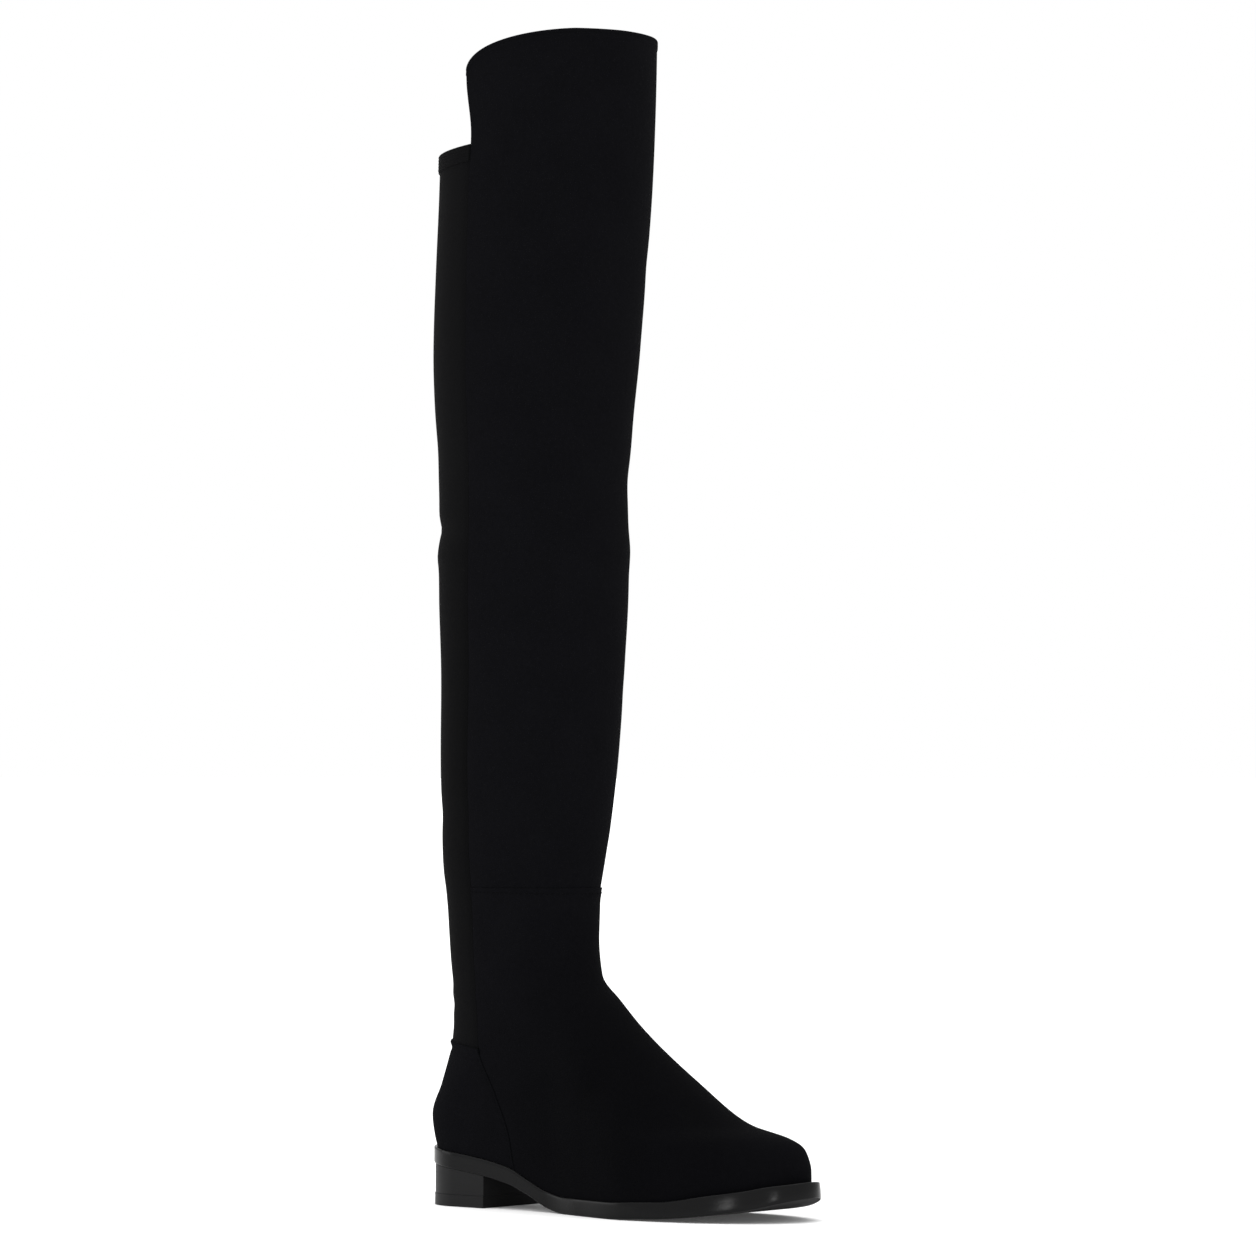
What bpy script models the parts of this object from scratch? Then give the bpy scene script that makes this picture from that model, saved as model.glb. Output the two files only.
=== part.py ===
"""Thigh high boot for a right foot: a suede foot and front, a stretch back panel and a low block heel.

Metres. x runs from heel to toe, y to the wearer's left, which is the inner side, and z up from the
floor. The origin is on the floor under the middle of the heel.

Everything soft is a part of one surface, boot_surface(level, turn). The level is 0 at the edge of the
sole, 1 at the ankle seam and 2 at the top, and the turn is 0 down the front and a half turn down the
back, negative on the outer side. Each panel is a stretch of that surface with its own wall.
"""

from collections import namedtuple

import bmesh
import bpy
import numpy as np

for leftover in list(bpy.data.objects):
    bpy.data.objects.remove(leftover, do_unlink=True)

# Heights above the floor
BOOT_HEIGHT = 0.672
BACK_DROP = 0.0642
BACK_HEIGHT = BOOT_HEIGHT - BACK_DROP
ANKLE_SEAM_HEIGHT = 0.184
COUNTER_HEIGHT = 0.097
HEEL_HEIGHT = 0.0343
TOE_SPRING = 0.0132

# Sole and heel
SOLE_LENGTH = 0.263
BALL_WIDTH = 0.0905
WAIST_WIDTH = 0.0535
HEEL_WIDTH = 0.0565
SOLE_THICKNESS = 0.0096
SOLE_EDGE_ROUNDING = 0.0009
HEEL_ROUND = 0.029
TOE_ROUND = 0.050
HEEL_LENGTH = 0.048
TOP_PIECE_THICKNESS = 0.0068
BLOCK_INSET = 0.0009
SIDE_LEDGE = 0.0012
TOE_LEDGE = 0.0048

# Foot and shaft, front to back and side to side
TOE_BOX_HEIGHT = 0.051
THIGH_DEPTH = 0.1292
THIGH_WIDTH = 0.1170
ANKLE_DEPTH = 0.0985
ANKLE_WIDTH = 0.0725
THIGH_FORWARD = 0.0780
ANKLE_FORWARD = 0.0583
TOP_CORNER_DROP = 0.022
BACK_DIP = 0.004

# Walls, steps and clearances
FOOT_WALL = 0.0024
SUEDE_WALL = 0.0018
STRETCH_WALL = 0.0014
COUNTER_THICKNESS = 0.0010
COUNTER_STEP = 0.0004
HEM_HEIGHT = 0.0045
HEM_STEP = 0.0004
BAND_HEIGHT = 0.0090
BAND_STEP = 0.0006
INSOLE_THICKNESS = 0.0035
INSOLE_CLEARANCE = 0.0012
GAP = 0.0003

# Faces round and up each panel
FRONT_COLUMNS = 16
BACK_COLUMNS = 8
HEEL_COLUMNS = 14
EDGE_POINTS = 720
HALF_TURN = np.pi

# Colours
SUEDE_BLACK = (0.012, 0.012, 0.012)
STRETCH_BLACK = (0.014, 0.014, 0.015)
RUBBER_BLACK = (0.028, 0.028, 0.029)
LINING_BLACK = (0.030, 0.030, 0.030)

HEEL_REST = HEEL_LENGTH / 2
BALL_HALF = BALL_WIDTH / 2
HEEL_HALF = HEEL_WIDTH / 2
WAIST_HALF = WAIST_WIDTH / 2

# The sole seen from above: how far along, half width before the ends are rounded, and the middle's
# distance towards the inner side
PlanRow = namedtuple("PlanRow", "along half middle")
PLAN = (
    PlanRow(0.00, 1.00 * HEEL_HALF, 0.000 * BALL_HALF),
    PlanRow(0.12, 1.00 * HEEL_HALF, 0.000 * BALL_HALF),
    PlanRow(0.25, 0.98 * HEEL_HALF, -0.022 * BALL_HALF),
    PlanRow(0.38, 1.00 * WAIST_HALF, -0.075 * BALL_HALF),
    PlanRow(0.50, 1.28 * WAIST_HALF, -0.095 * BALL_HALF),
    PlanRow(0.66, 1.00 * BALL_HALF, -0.035 * BALL_HALF),
    PlanRow(0.78, 0.94 * BALL_HALF, 0.012 * BALL_HALF),
    PlanRow(0.88, 0.83 * BALL_HALF, 0.055 * BALL_HALF),
    PlanRow(1.00, 0.74 * BALL_HALF, 0.150 * BALL_HALF),
)

# The underside of the sole: share of the heel seat's height behind the ball, of the toe spring before it
UndersideRow = namedtuple("UndersideRow", "along seat spring")
UNDERSIDE = (
    UndersideRow(0.000, 1.00, 0.00),
    UndersideRow(0.186, 0.77, 0.00),
    UndersideRow(0.270, 0.59, 0.00),
    UndersideRow(0.330, 0.32, 0.00),
    UndersideRow(0.385, 0.09, 0.00),
    UndersideRow(0.440, 0.00, 0.00),
    UndersideRow(0.740, 0.00, 0.00),
    UndersideRow(0.830, 0.00, 0.17),
    UndersideRow(0.920, 0.00, 0.54),
    UndersideRow(1.000, 0.00, 1.00),
)

# The line down the back of the foot: share of the way from sole to ankle seam, and the distance
# forward of the sole's back, as a share of the heel's width
BackRow = namedtuple("BackRow", "rise forward")
BACK = (
    BackRow(0.00, 0.020),
    BackRow(0.12, -0.027),
    BackRow(0.25, 0.100),
    BackRow(0.42, 0.225),
    BackRow(0.55, 0.255),
    BackRow(0.75, 0.205),
)

# The line up the front of the foot: share of the way from toe edge to ankle seam, distance along the
# sole, and height as a share of the toe box height or of the ankle seam height
FrontRow = namedtuple("FrontRow", "rise along height")
FRONT = (
    FrontRow(0.05, 0.983, 0.56 * TOE_BOX_HEIGHT),
    FrontRow(0.10, 0.970, 0.80 * TOE_BOX_HEIGHT),
    FrontRow(0.16, 0.930, 0.95 * TOE_BOX_HEIGHT),
    FrontRow(0.25, 0.825, 0.301 * ANKLE_SEAM_HEIGHT),
    FrontRow(0.40, 0.702, 0.400 * ANKLE_SEAM_HEIGHT),
    FrontRow(0.60, 0.540, 0.560 * ANKLE_SEAM_HEIGHT),
    FrontRow(0.70, 0.476, 0.640 * ANKLE_SEAM_HEIGHT),
    FrontRow(0.78, 0.421, 0.720 * ANKLE_SEAM_HEIGHT),
    FrontRow(0.88, 0.408, 0.850 * ANKLE_SEAM_HEIGHT),
)

# How far the foot's sections are rounded behind the front line, as a share of the toe's rounding
RoundRow = namedtuple("RoundRow", "rise reach")
FRONT_ROUNDING = (
    RoundRow(0.00, 0.96),
    RoundRow(0.10, 1.20),
    RoundRow(0.25, 1.50),
    RoundRow(0.50, 1.45),
    RoundRow(0.75, 1.20),
)

# Level sections of the shaft: share of the way up, middle as a share of the way from the ankle's to
# the top's, depth and width likewise, and the turn of the side seam
ShaftRow = namedtuple("ShaftRow", "rise middle depth width seam")
SHAFT = (
    ShaftRow(0.00, 0.000, 0.000, 0.000, 0.555),
    ShaftRow(0.04, 0.035, 0.165, 0.140, 0.553),
    ShaftRow(0.07, 0.090, 0.250, 0.225, 0.552),
    ShaftRow(0.16, 0.230, 0.380, 0.418, 0.549),
    ShaftRow(0.26, 0.345, 0.477, 0.492, 0.546),
    ShaftRow(0.36, 0.380, 0.577, 0.590, 0.541),
    ShaftRow(0.45, 0.375, 0.561, 0.579, 0.537),
    ShaftRow(0.54, 0.395, 0.700, 0.690, 0.534),
    ShaftRow(0.63, 0.490, 0.858, 0.850, 0.533),
    ShaftRow(0.73, 0.670, 0.926, 0.917, 0.540),
    ShaftRow(0.82, 0.840, 0.952, 0.961, 0.548),
    ShaftRow(0.88, 0.910, 0.970, 0.975, 0.547),
    ShaftRow(0.95, 0.960, 0.985, 0.990, 0.564),
    ShaftRow(1.00, 1.000, 1.000, 1.000, 0.570),
)

# The edge of the heel counter and, above it, the side seam: distance along the sole at each level
SeamRow = namedtuple("SeamRow", "rise along")
LOW_SEAM = (
    SeamRow(0.00, 0.285),
    SeamRow(0.10, 0.275),
    SeamRow(0.25, 0.240),
    SeamRow(0.43, 0.190),
    SeamRow(0.60, 0.192),
    SeamRow(0.80, 0.190),
)

FOOT_RISE = ANKLE_SEAM_HEIGHT - HEEL_HEIGHT
SHAFT_RISE = BOOT_HEIGHT - ANKLE_SEAM_HEIGHT
COUNTER_LEVEL = (COUNTER_HEIGHT - HEEL_HEIGHT) / FOOT_RISE
LOW_STEPS = (0.0, 0.07, 0.17, 0.29, 0.43, 0.60, 0.79, 1.0)
HIGH_STEPS = (0.15, 0.30, 0.45, 0.60, 0.74, 0.87, 1.0)
FOOT_LEVELS = tuple(COUNTER_LEVEL * step for step in LOW_STEPS) + tuple(
    COUNTER_LEVEL + (1 - COUNTER_LEVEL) * step for step in HIGH_STEPS
)
SHAFT_STEPS = 14
TOP_STEPS = 4
SHAFT_LEVELS = tuple(np.linspace(1, 1 + (BACK_HEIGHT - ANKLE_SEAM_HEIGHT) / SHAFT_RISE, SHAFT_STEPS))
STEP_SLOPE = 0.05

# How far out the foot swells over the last and up to what level, where the sole's ledge starts to
# widen, and how fast the foot narrows and straightens up to the ankle
SWELL = 0.04
SWELL_TOP = 0.36
LEDGE_START = 0.6
NARROWING = 1.25
STRAIGHTENING = 1.2

# The levels up to which the foot follows the sole's edge and its wall leans, and the top corners
EDGE_FADE = 0.3
EDGE_LEAN = 0.12
CORNER_START = 0.20
CORNER_POWER = 2.0

# Small steps along the surface, and the angle past which an edge is drawn sharp
SMALL_TURN = 0.003
SLIVER = 1e-9
SHARP_ANGLE = 0.7

EVEN = np.linspace(-1, 1, 2 * FRONT_COLUMNS + 1)
SPREAD = EVEN / 2 + np.sin(EVEN * HALF_TURN / 2) / 2


def smooth(rows, column, at):
    """A smooth value of one column of a table that never passes its rows' own highs and lows."""
    steps = np.array([row[0] for row in rows], float)
    values = np.array([getattr(row, column) for row in rows], float)
    rise = np.diff(values) / np.diff(steps)
    before, after = rise[:-1], rise[1:]
    turning = before * after <= 0
    total = np.where(turning, 1.0, before + after)
    inner = np.where(turning, 0.0, 2 * before * after / total)
    slopes = np.concatenate([rise[:1], inner, rise[-1:]])
    at = np.clip(np.asarray(at, float), steps[0], steps[-1])
    place = np.clip(np.searchsorted(steps, at, side="right") - 1, 0, len(steps) - 2)
    span = steps[place + 1] - steps[place]
    share = (at - steps[place]) / span
    start = (1 + 2 * share) * (1 - share) ** 2 * values[place]
    start_slope = share * (1 - share) ** 2 * span * slopes[place]
    end = share**2 * (3 - 2 * share) * values[place + 1]
    end_slope = share**2 * (share - 1) * span * slopes[place + 1]
    return start + start_slope + end + end_slope


def ease(share):
    share = np.clip(share, 0, 1)
    return share * share * (3 - 2 * share)


def rounded(distance, reach):
    """The part of the full half width that a section has at this distance from its end."""
    short = 1 - np.clip(distance / reach, 0, 1)
    return np.sqrt(np.maximum(1 - short**2, 0))


def underside(along):
    """Height of the sole's lower face at a share of its length."""
    seat = (HEEL_HEIGHT - SOLE_THICKNESS) * smooth(UNDERSIDE, "seat", along)
    return seat + TOE_SPRING * smooth(UNDERSIDE, "spring", along)


def seat_top(x):
    """Height of the sole's upper face at x."""
    return underside((x + HEEL_REST) / SOLE_LENGTH) + SOLE_THICKNESS


def sole_outline(turns):
    """The sole's edge seen from above, one point a turn, from the toe round to the heel and back."""
    along = (1 + np.cos(turns)) / 2
    ends = rounded(along * SOLE_LENGTH, HEEL_ROUND) * rounded((1 - along) * SOLE_LENGTH, TOE_ROUND)
    side = np.sign(np.sin(turns))
    y = smooth(PLAN, "middle", along) + side * smooth(PLAN, "half", along) * ends
    return np.stack([along * SOLE_LENGTH - HEEL_REST, y], axis=-1)


def drawn_in(outline, distance):
    """A closed outline moved in by a distance, which may differ from point to point."""
    along = np.roll(outline, -1, axis=0) - np.roll(outline, 1, axis=0)
    along /= np.linalg.norm(along, axis=1, keepdims=True)
    inward = np.stack([-along[:, 1], along[:, 0]], axis=-1)
    return outline + inward * np.reshape(distance, (-1, 1))


def ledge(x):
    """How far the sole stands out past the upper."""
    past = (x + HEEL_REST) / SOLE_LENGTH - LEDGE_START
    return SIDE_LEDGE + (TOE_LEDGE - SIDE_LEDGE) * ease(past / (1 - LEDGE_START))


EDGE_TURNS = np.linspace(-HALF_TURN, HALF_TURN, EDGE_POINTS, endpoint=False)
SOLE_EDGE = sole_outline(EDGE_TURNS)
UPPER_EDGE = drawn_in(SOLE_EDGE, ledge(SOLE_EDGE[:, 0]))


def shaft_section(rise):
    """Middle, half depth and half width of the shaft at a share of the way up from the ankle seam."""
    middle = ANKLE_FORWARD + (THIGH_FORWARD - ANKLE_FORWARD) * smooth(SHAFT, "middle", rise)
    depth = ANKLE_DEPTH + (THIGH_DEPTH - ANKLE_DEPTH) * smooth(SHAFT, "depth", rise)
    width = ANKLE_WIDTH + (THIGH_WIDTH - ANKLE_WIDTH) * smooth(SHAFT, "width", rise)
    return middle - HEEL_REST, depth / 2, width / 2


ANKLE_MIDDLE, ANKLE_HALF_DEPTH, ANKLE_HALF_WIDTH = shaft_section(0.0)
BACK_LINE = BACK + (BackRow(1.0, (ANKLE_MIDDLE - ANKLE_HALF_DEPTH + HEEL_REST) / HEEL_WIDTH),)
TOE_X = UPPER_EDGE[:, 0].max()
TOE_EDGE = FrontRow(0.0, (TOE_X + HEEL_REST) / SOLE_LENGTH, seat_top(TOE_X))
SHIN = FrontRow(1.0, (ANKLE_MIDDLE + ANKLE_HALF_DEPTH + HEEL_REST) / SOLE_LENGTH, ANKLE_SEAM_HEIGHT)
FRONT_LINE = (TOE_EDGE,) + FRONT + (SHIN,)
ANKLE_ROUNDING = RoundRow(1.0, ANKLE_HALF_DEPTH / TOE_ROUND)
ROUNDING = FRONT_ROUNDING + (ANKLE_ROUNDING,)


def foot_point(level, turn):
    """A point of the foot: a section between the back line and the front line, wide as the last."""
    back_x = smooth(BACK_LINE, "forward", level) * HEEL_WIDTH - HEEL_REST
    back_z = seat_top(back_x) + (ANKLE_SEAM_HEIGHT - seat_top(back_x)) * level
    front_x = smooth(FRONT_LINE, "along", level) * SOLE_LENGTH - HEEL_REST
    front_z = smooth(FRONT_LINE, "height", level)
    back = (1 - np.cos(turn)) / 2
    x = front_x + back * (back_x - front_x)
    chord_z = front_z + back * (back_z - front_z)
    edge_front, edge_back = FRONT_LINE[0], seat_top(back_x)
    edge_z = edge_front.height + back * (edge_back - edge_front.height)
    z = chord_z + (seat_top(x) - edge_z) * (1 - level) ** 3
    length = front_x - back_x
    along = (x + HEEL_REST) / SOLE_LENGTH
    swell = 1 + SWELL * np.sin(HALF_TURN * np.clip(level / SWELL_TOP, 0, 1))
    last = smooth(PLAN, "half", along) * swell
    half = last + (ANKLE_HALF_WIDTH - last) * ease(level**NARROWING)
    heel_reach = HEEL_ROUND + (ANKLE_HALF_DEPTH - HEEL_ROUND) * ease(level)
    front_reach = smooth(ROUNDING, "reach", level) * TOE_ROUND
    ends = rounded(back * length, front_reach) * rounded((1 - back) * length, heel_reach)
    middle = smooth(PLAN, "middle", along) * (1 - ease(level * STRAIGHTENING))
    return x, middle + np.sign(np.sin(turn)) * half * ends, z


def shaft_point(level, turn):
    """A point of the shaft: an oval level section."""
    rise = level - 1
    middle, half_depth, half_width = shaft_section(rise)
    x = middle + half_depth * np.cos(turn)
    z = ANKLE_SEAM_HEIGHT + rise * (BOOT_HEIGHT - ANKLE_SEAM_HEIGHT)
    return x, half_width * np.sin(turn), z


def edge_of_upper(turn):
    """The upper's lower edge at each turn."""
    x = np.interp(turn, EDGE_TURNS, UPPER_EDGE[:, 0], period=2 * HALF_TURN)
    y = np.interp(turn, EDGE_TURNS, UPPER_EDGE[:, 1], period=2 * HALF_TURN)
    return x, y


def boot_surface(level, turn):
    level, turn = np.broadcast_arrays(np.asarray(level, float), np.asarray(turn, float))
    foot = np.stack(foot_point(np.clip(level, 0, 1), turn), axis=-1)
    start = np.stack(foot_point(np.zeros_like(level), turn), axis=-1)
    edge_x, edge_y = edge_of_upper(turn)
    edge = np.stack([edge_x, edge_y, seat_top(edge_x)], axis=-1)
    fade = np.clip(1 - level / EDGE_FADE, 0, 1)[..., None] ** 2
    foot = foot + (edge - start) * fade
    shaft = np.stack(shaft_point(np.clip(level, 1, 2), turn), axis=-1)
    return np.where(level[..., None] <= 1, foot, shaft)


def outward(level, turn):
    """Unit normals of the surface, from the points a little to each side."""
    joint = np.where(level <= 1, 1.0, 2.0)
    low = np.clip(level - SMALL_TURN, joint - 1 + SLIVER, joint)
    high = np.clip(level + SMALL_TURN, joint - 1 + SLIVER, joint)
    up = boot_surface(high, turn) - boot_surface(low, turn)
    across = boot_surface(level, turn + SMALL_TURN) - boot_surface(level, turn - SMALL_TURN)
    normal = np.cross(across, up)
    return normal / np.linalg.norm(normal, axis=-1, keepdims=True)


def level_at(height):
    """The level of a height on the shaft."""
    return 1 + (height - ANKLE_SEAM_HEIGHT) / (BOOT_HEIGHT - ANKLE_SEAM_HEIGHT)


def seam_turn(level):
    """The turn at which the side seam lies, on either side."""
    level = np.asarray(level, float)
    foot_level = np.clip(level, 0, 1)
    seam_x = smooth(LOW_SEAM_LINE, "along", foot_level) * SOLE_LENGTH - HEEL_REST
    back_x = smooth(BACK_LINE, "forward", foot_level) * HEEL_WIDTH - HEEL_REST
    front_x = smooth(FRONT_LINE, "along", foot_level) * SOLE_LENGTH - HEEL_REST
    foot = np.arccos(1 - 2 * (front_x - seam_x) / (front_x - back_x))
    shaft = smooth(SHAFT, "seam", np.clip(level - 1, 0, 1)) * HALF_TURN
    return np.where(level <= 1, foot, shaft)


ANKLE_SEAM_X = ANKLE_MIDDLE + ANKLE_HALF_DEPTH * np.cos(SHAFT[0].seam * HALF_TURN)
LOW_SEAM_LINE = LOW_SEAM + (SeamRow(1.0, (ANKLE_SEAM_X + HEEL_REST) / SOLE_LENGTH),)


def material(name, colour, roughness):
    made = bpy.data.materials.new(name)
    made.use_nodes = True
    shader = made.node_tree.nodes["Principled BSDF"]
    shader.inputs["Base Color"].default_value = (*colour, 1)
    shader.inputs["Roughness"].default_value = roughness
    shader.inputs["Metallic"].default_value = 0.0
    return made


def add_object(name, points, faces, finish):
    mesh = bpy.data.meshes.new(name)
    mesh.from_pydata([tuple(p) for p in points], [], faces)
    mesh.validate()
    shape = bmesh.new()
    shape.from_mesh(mesh)
    bmesh.ops.recalc_face_normals(shape, faces=shape.faces)
    bmesh.ops.triangulate(shape, faces=shape.faces)
    shape.to_mesh(mesh)
    shape.free()
    mesh.shade_smooth()
    mesh.set_sharp_from_angle(angle=SHARP_ANGLE)
    mesh.materials.append(finish)
    made = bpy.data.objects.new(name, mesh)
    bpy.context.scene.collection.objects.link(made)
    return made


def wall(name, outer, inner, present, closed, finish):
    """A solid wall between two grids of points. present says which cells between four points exist."""
    rows, columns = outer.shape[:2]
    points = np.concatenate([outer.reshape(-1, 3), inner.reshape(-1, 3)])
    second = rows * columns

    def index(row, column, side):
        return side * second + row * columns + column % columns

    def cell(row, column):
        if closed:
            column %= present.shape[1]
        inside = 0 <= row < present.shape[0] and 0 <= column < present.shape[1]
        return inside and bool(present[row, column])

    faces = []
    for row in range(present.shape[0]):
        for column in range(present.shape[1]):
            if not cell(row, column):
                continue
            corners = ((row, column), (row, column + 1), (row + 1, column + 1), (row + 1, column))
            faces.append([index(r, c, 0) for r, c in corners])
            faces.append([index(r, c, 1) for r, c in reversed(corners)])
            neighbours = ((row - 1, column), (row, column + 1), (row + 1, column), (row, column - 1))
            for side, neighbour in enumerate(neighbours):
                if cell(*neighbour):
                    continue
                first, last = corners[side], corners[(side + 1) % 4]
                rim = [index(*last, 0), index(*first, 0), index(*first, 1), index(*last, 1)]
                faces.append(rim)
    used = sorted({i for face in faces for i in face})
    place = {old: new for new, old in enumerate(used)}
    faces = [[place[i] for i in face] for face in faces]
    return add_object(name, points[used], faces, finish)


def solid_between(name, outlines, finish):
    """A solid from closed outlines stacked upwards, its ends closed from side to side."""
    columns = len(outlines[0])
    points = np.concatenate(outlines)
    faces = []
    for layer in range(len(outlines) - 1):
        for column in range(columns):
            after = (column + 1) % columns
            low, high = layer * columns, (layer + 1) * columns
            faces.append([low + column, low + after, high + after, high + column])
    for layer in (0, len(outlines) - 1):
        first = layer * columns
        for step in range(columns // 2):
            left, right = first + step, first + (columns - step) % columns
            left_next, right_next = first + step + 1, first + columns - step - 1
            faces.append(list(dict.fromkeys([left, left_next, right_next, right])))
    return add_object(name, points, faces, finish)


def at_height(outline, height):
    return np.column_stack([outline, np.broadcast_to(height, len(outline))])


SUEDE = material("suede", SUEDE_BLACK, 0.95)
STRETCH = material("stretch", STRETCH_BLACK, 0.8)
RUBBER = material("sole_rubber", RUBBER_BLACK, 0.42)
LINING = material("lining", LINING_BLACK, 0.9)


def sole_turns():
    """The turns of the upper's lower edge, from the toe round to the toe again."""
    front = front_turns(0.0, GAP / 2)
    back = back_turns(0.0, 0.0)
    inner_side, outer_side = front[FRONT_COLUMNS:], front[:FRONT_COLUMNS]
    return np.concatenate([inner_side, back[1:-1], outer_side + 2 * HALF_TURN])


def make_outsole():
    outline = sole_outline(sole_turns())
    along = (outline[:, 0] + HEEL_REST) / SOLE_LENGTH
    rounding = SOLE_EDGE_ROUNDING
    layers = (
        (rounding, 0.0),
        (0.0, rounding),
        (0.0, SOLE_THICKNESS - GAP - rounding / 2),
        (rounding / 2, SOLE_THICKNESS - GAP),
    )
    outlines = []
    for inset, up in layers:
        edge = drawn_in(outline, inset)
        outlines.append(at_height(edge, underside(along) + up))
    return solid_between("outsole", outlines, RUBBER)


def heel_outline(inset):
    """The back of the sole's outline, cut off straight at the breast."""
    edge = drawn_in(SOLE_EDGE, inset)
    breast = HEEL_LENGTH - HEEL_REST - inset
    turns = EDGE_TURNS[(edge[:, 0] < breast) & (EDGE_TURNS < 0)]
    cut = -turns.max()
    cut_turns = np.linspace(cut, 2 * HALF_TURN - cut, 2 * HEEL_COLUMNS + 1)
    x = np.interp(cut_turns, EDGE_TURNS, edge[:, 0], period=2 * HALF_TURN)
    y = np.interp(cut_turns, EDGE_TURNS, edge[:, 1], period=2 * HALF_TURN)
    return np.column_stack([np.minimum(x, breast), y])


def heel_solid(name, inset, low, high, finish):
    """A slice of the heel between two heights, each a number or a function of x."""
    outline = heel_outline(inset)
    count = len(outline)
    lower = at_height(outline, low(outline[:, 0]))
    upper = at_height(outline, high(outline[:, 0]))
    points = np.concatenate([lower, upper])
    faces = []
    for column in range(count):
        after = (column + 1) % count
        faces.append([column, after, count + after, count + column])
    for first in (0, count):
        for step in range(count // 2):
            ring = [first + step, first + step + 1, first + count - step - 2, first + count - step - 1]
            faces.append(list(dict.fromkeys(ring)))
    return add_object(name, points, faces, finish)


def make_heel():
    heel_solid(
        "heel_top_piece",
        0.0,
        lambda x: np.zeros_like(x),
        lambda x: np.full_like(x, TOP_PIECE_THICKNESS),
        RUBBER,
    )
    heel_solid(
        "heel_block",
        BLOCK_INSET,
        lambda x: np.full_like(x, TOP_PIECE_THICKNESS + GAP),
        lambda x: underside((x + HEEL_REST) / SOLE_LENGTH) - GAP,
        RUBBER,
    )


def make_insole():
    x, y = edge_of_upper(sole_turns())
    outline = drawn_in(np.column_stack([x, y]), FOOT_WALL + INSOLE_CLEARANCE)
    low = seat_top(outline[:, 0])
    outlines = [at_height(outline, low), at_height(outline, low + INSOLE_THICKNESS)]
    return solid_between("insole", outlines, LINING)


def moved(level, turn, distance):
    """A turn moved round the surface by a distance, towards the back where it is positive."""
    near = boot_surface(level, turn + SMALL_TURN) - boot_surface(level, turn - SMALL_TURN)
    return turn + distance * 2 * SMALL_TURN / np.linalg.norm(near, axis=-1)


def front_turns(levels, clearance):
    """Turns across the front panels, one row a level, ending short of the side seams."""
    seam = moved(levels, seam_turn(levels), -clearance)
    return SPREAD * seam


def back_turns(levels, clearance):
    """Turns across the back panels, one row a level, starting past the side seams."""
    seam = moved(levels, seam_turn(levels), clearance)
    return seam + np.linspace(0, 1, 2 * BACK_COLUMNS + 1) * 2 * (HALF_TURN - seam)


def laid(levels, turns, depth):
    """Points under the surface by a depth, which is measured level on the sole's edge."""
    points = boot_surface(levels, turns)
    normals = outward(levels, turns)
    normals[..., 2] *= ease(np.broadcast_to(levels, turns.shape) / EDGE_LEAN)
    normals /= np.linalg.norm(normals, axis=-1, keepdims=True)
    placed = points - normals * np.reshape(depth, np.shape(depth) + (1,))
    on_edge = np.broadcast_to(levels, turns.shape) == 0
    placed[..., 2] = np.where(on_edge, seat_top(placed[..., 0]), placed[..., 2])
    return placed


def panel(name, levels, turns, proud, thickness, finish):
    """A curved panel whose outer face stands proud of the surface by a distance for each row."""
    outer = laid(levels, turns, -proud)
    inner = laid(levels, turns, np.full_like(proud, thickness))
    present = np.ones((turns.shape[0] - 1, turns.shape[1] - 1), bool)
    return wall(name, outer, inner, present, False, finish)


def column(values):
    return np.array(values, float)[:, None]


def make_upper():
    levels = column(FOOT_LEVELS)
    levels[-1] -= GAP / 2 / FOOT_RISE
    front = front_turns(levels, GAP / 2)
    back = back_turns(levels, 0.0)
    turns = np.concatenate([front, back], axis=1)
    sunk = np.zeros_like(turns)
    sunk[:, front.shape[1] :] = COUNTER_THICKNESS - COUNTER_STEP + GAP
    outer = laid(levels, turns, sunk)
    inner = laid(levels, turns, np.full_like(turns, FOOT_WALL))
    present = np.ones((len(levels) - 1, turns.shape[1]), bool)
    present[levels[:-1, 0] >= COUNTER_LEVEL, front.shape[1] - 1 :] = False
    return wall("upper", outer, inner, present, True, SUEDE)


def make_counter():
    levels = column([level for level in FOOT_LEVELS if level <= COUNTER_LEVEL])
    turns = back_turns(levels, GAP)
    proud = np.full_like(turns, COUNTER_STEP)
    return panel("heel_counter", levels, turns, proud, COUNTER_THICKNESS - COUNTER_STEP, SUEDE)


def top_of_front(share):
    """Height of the front panel's upper edge, which is level in front and rounded off to each side."""
    out = np.clip((np.abs(share) - CORNER_START) / (1 - CORNER_START), 0, 1)
    fall = 1 - (1 - out**CORNER_POWER) ** (1 / CORNER_POWER)
    return BOOT_HEIGHT - TOP_CORNER_DROP * fall


def make_shaft_front():
    top = level_at(top_of_front(SPREAD))
    hem = HEM_HEIGHT / SHAFT_RISE
    first = 1 + GAP / 2 / SHAFT_RISE
    rows = [np.full_like(SPREAD, level) for level in (first,) + SHAFT_LEVELS[1:]]
    start = SHAFT_LEVELS[-1]
    rows += [start + (top - hem - start) * share for share in np.linspace(0, 1, TOP_STEPS + 1)[1:]]
    plain = len(rows)
    rows += [top - hem * (1 - STEP_SLOPE), top]
    levels = np.array(rows)
    turns = front_turns(levels, GAP / 2)
    proud = np.zeros_like(turns)
    proud[plain:] = HEM_STEP
    return panel("shaft_front", levels, turns, proud, SUEDE_WALL, SUEDE)


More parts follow.
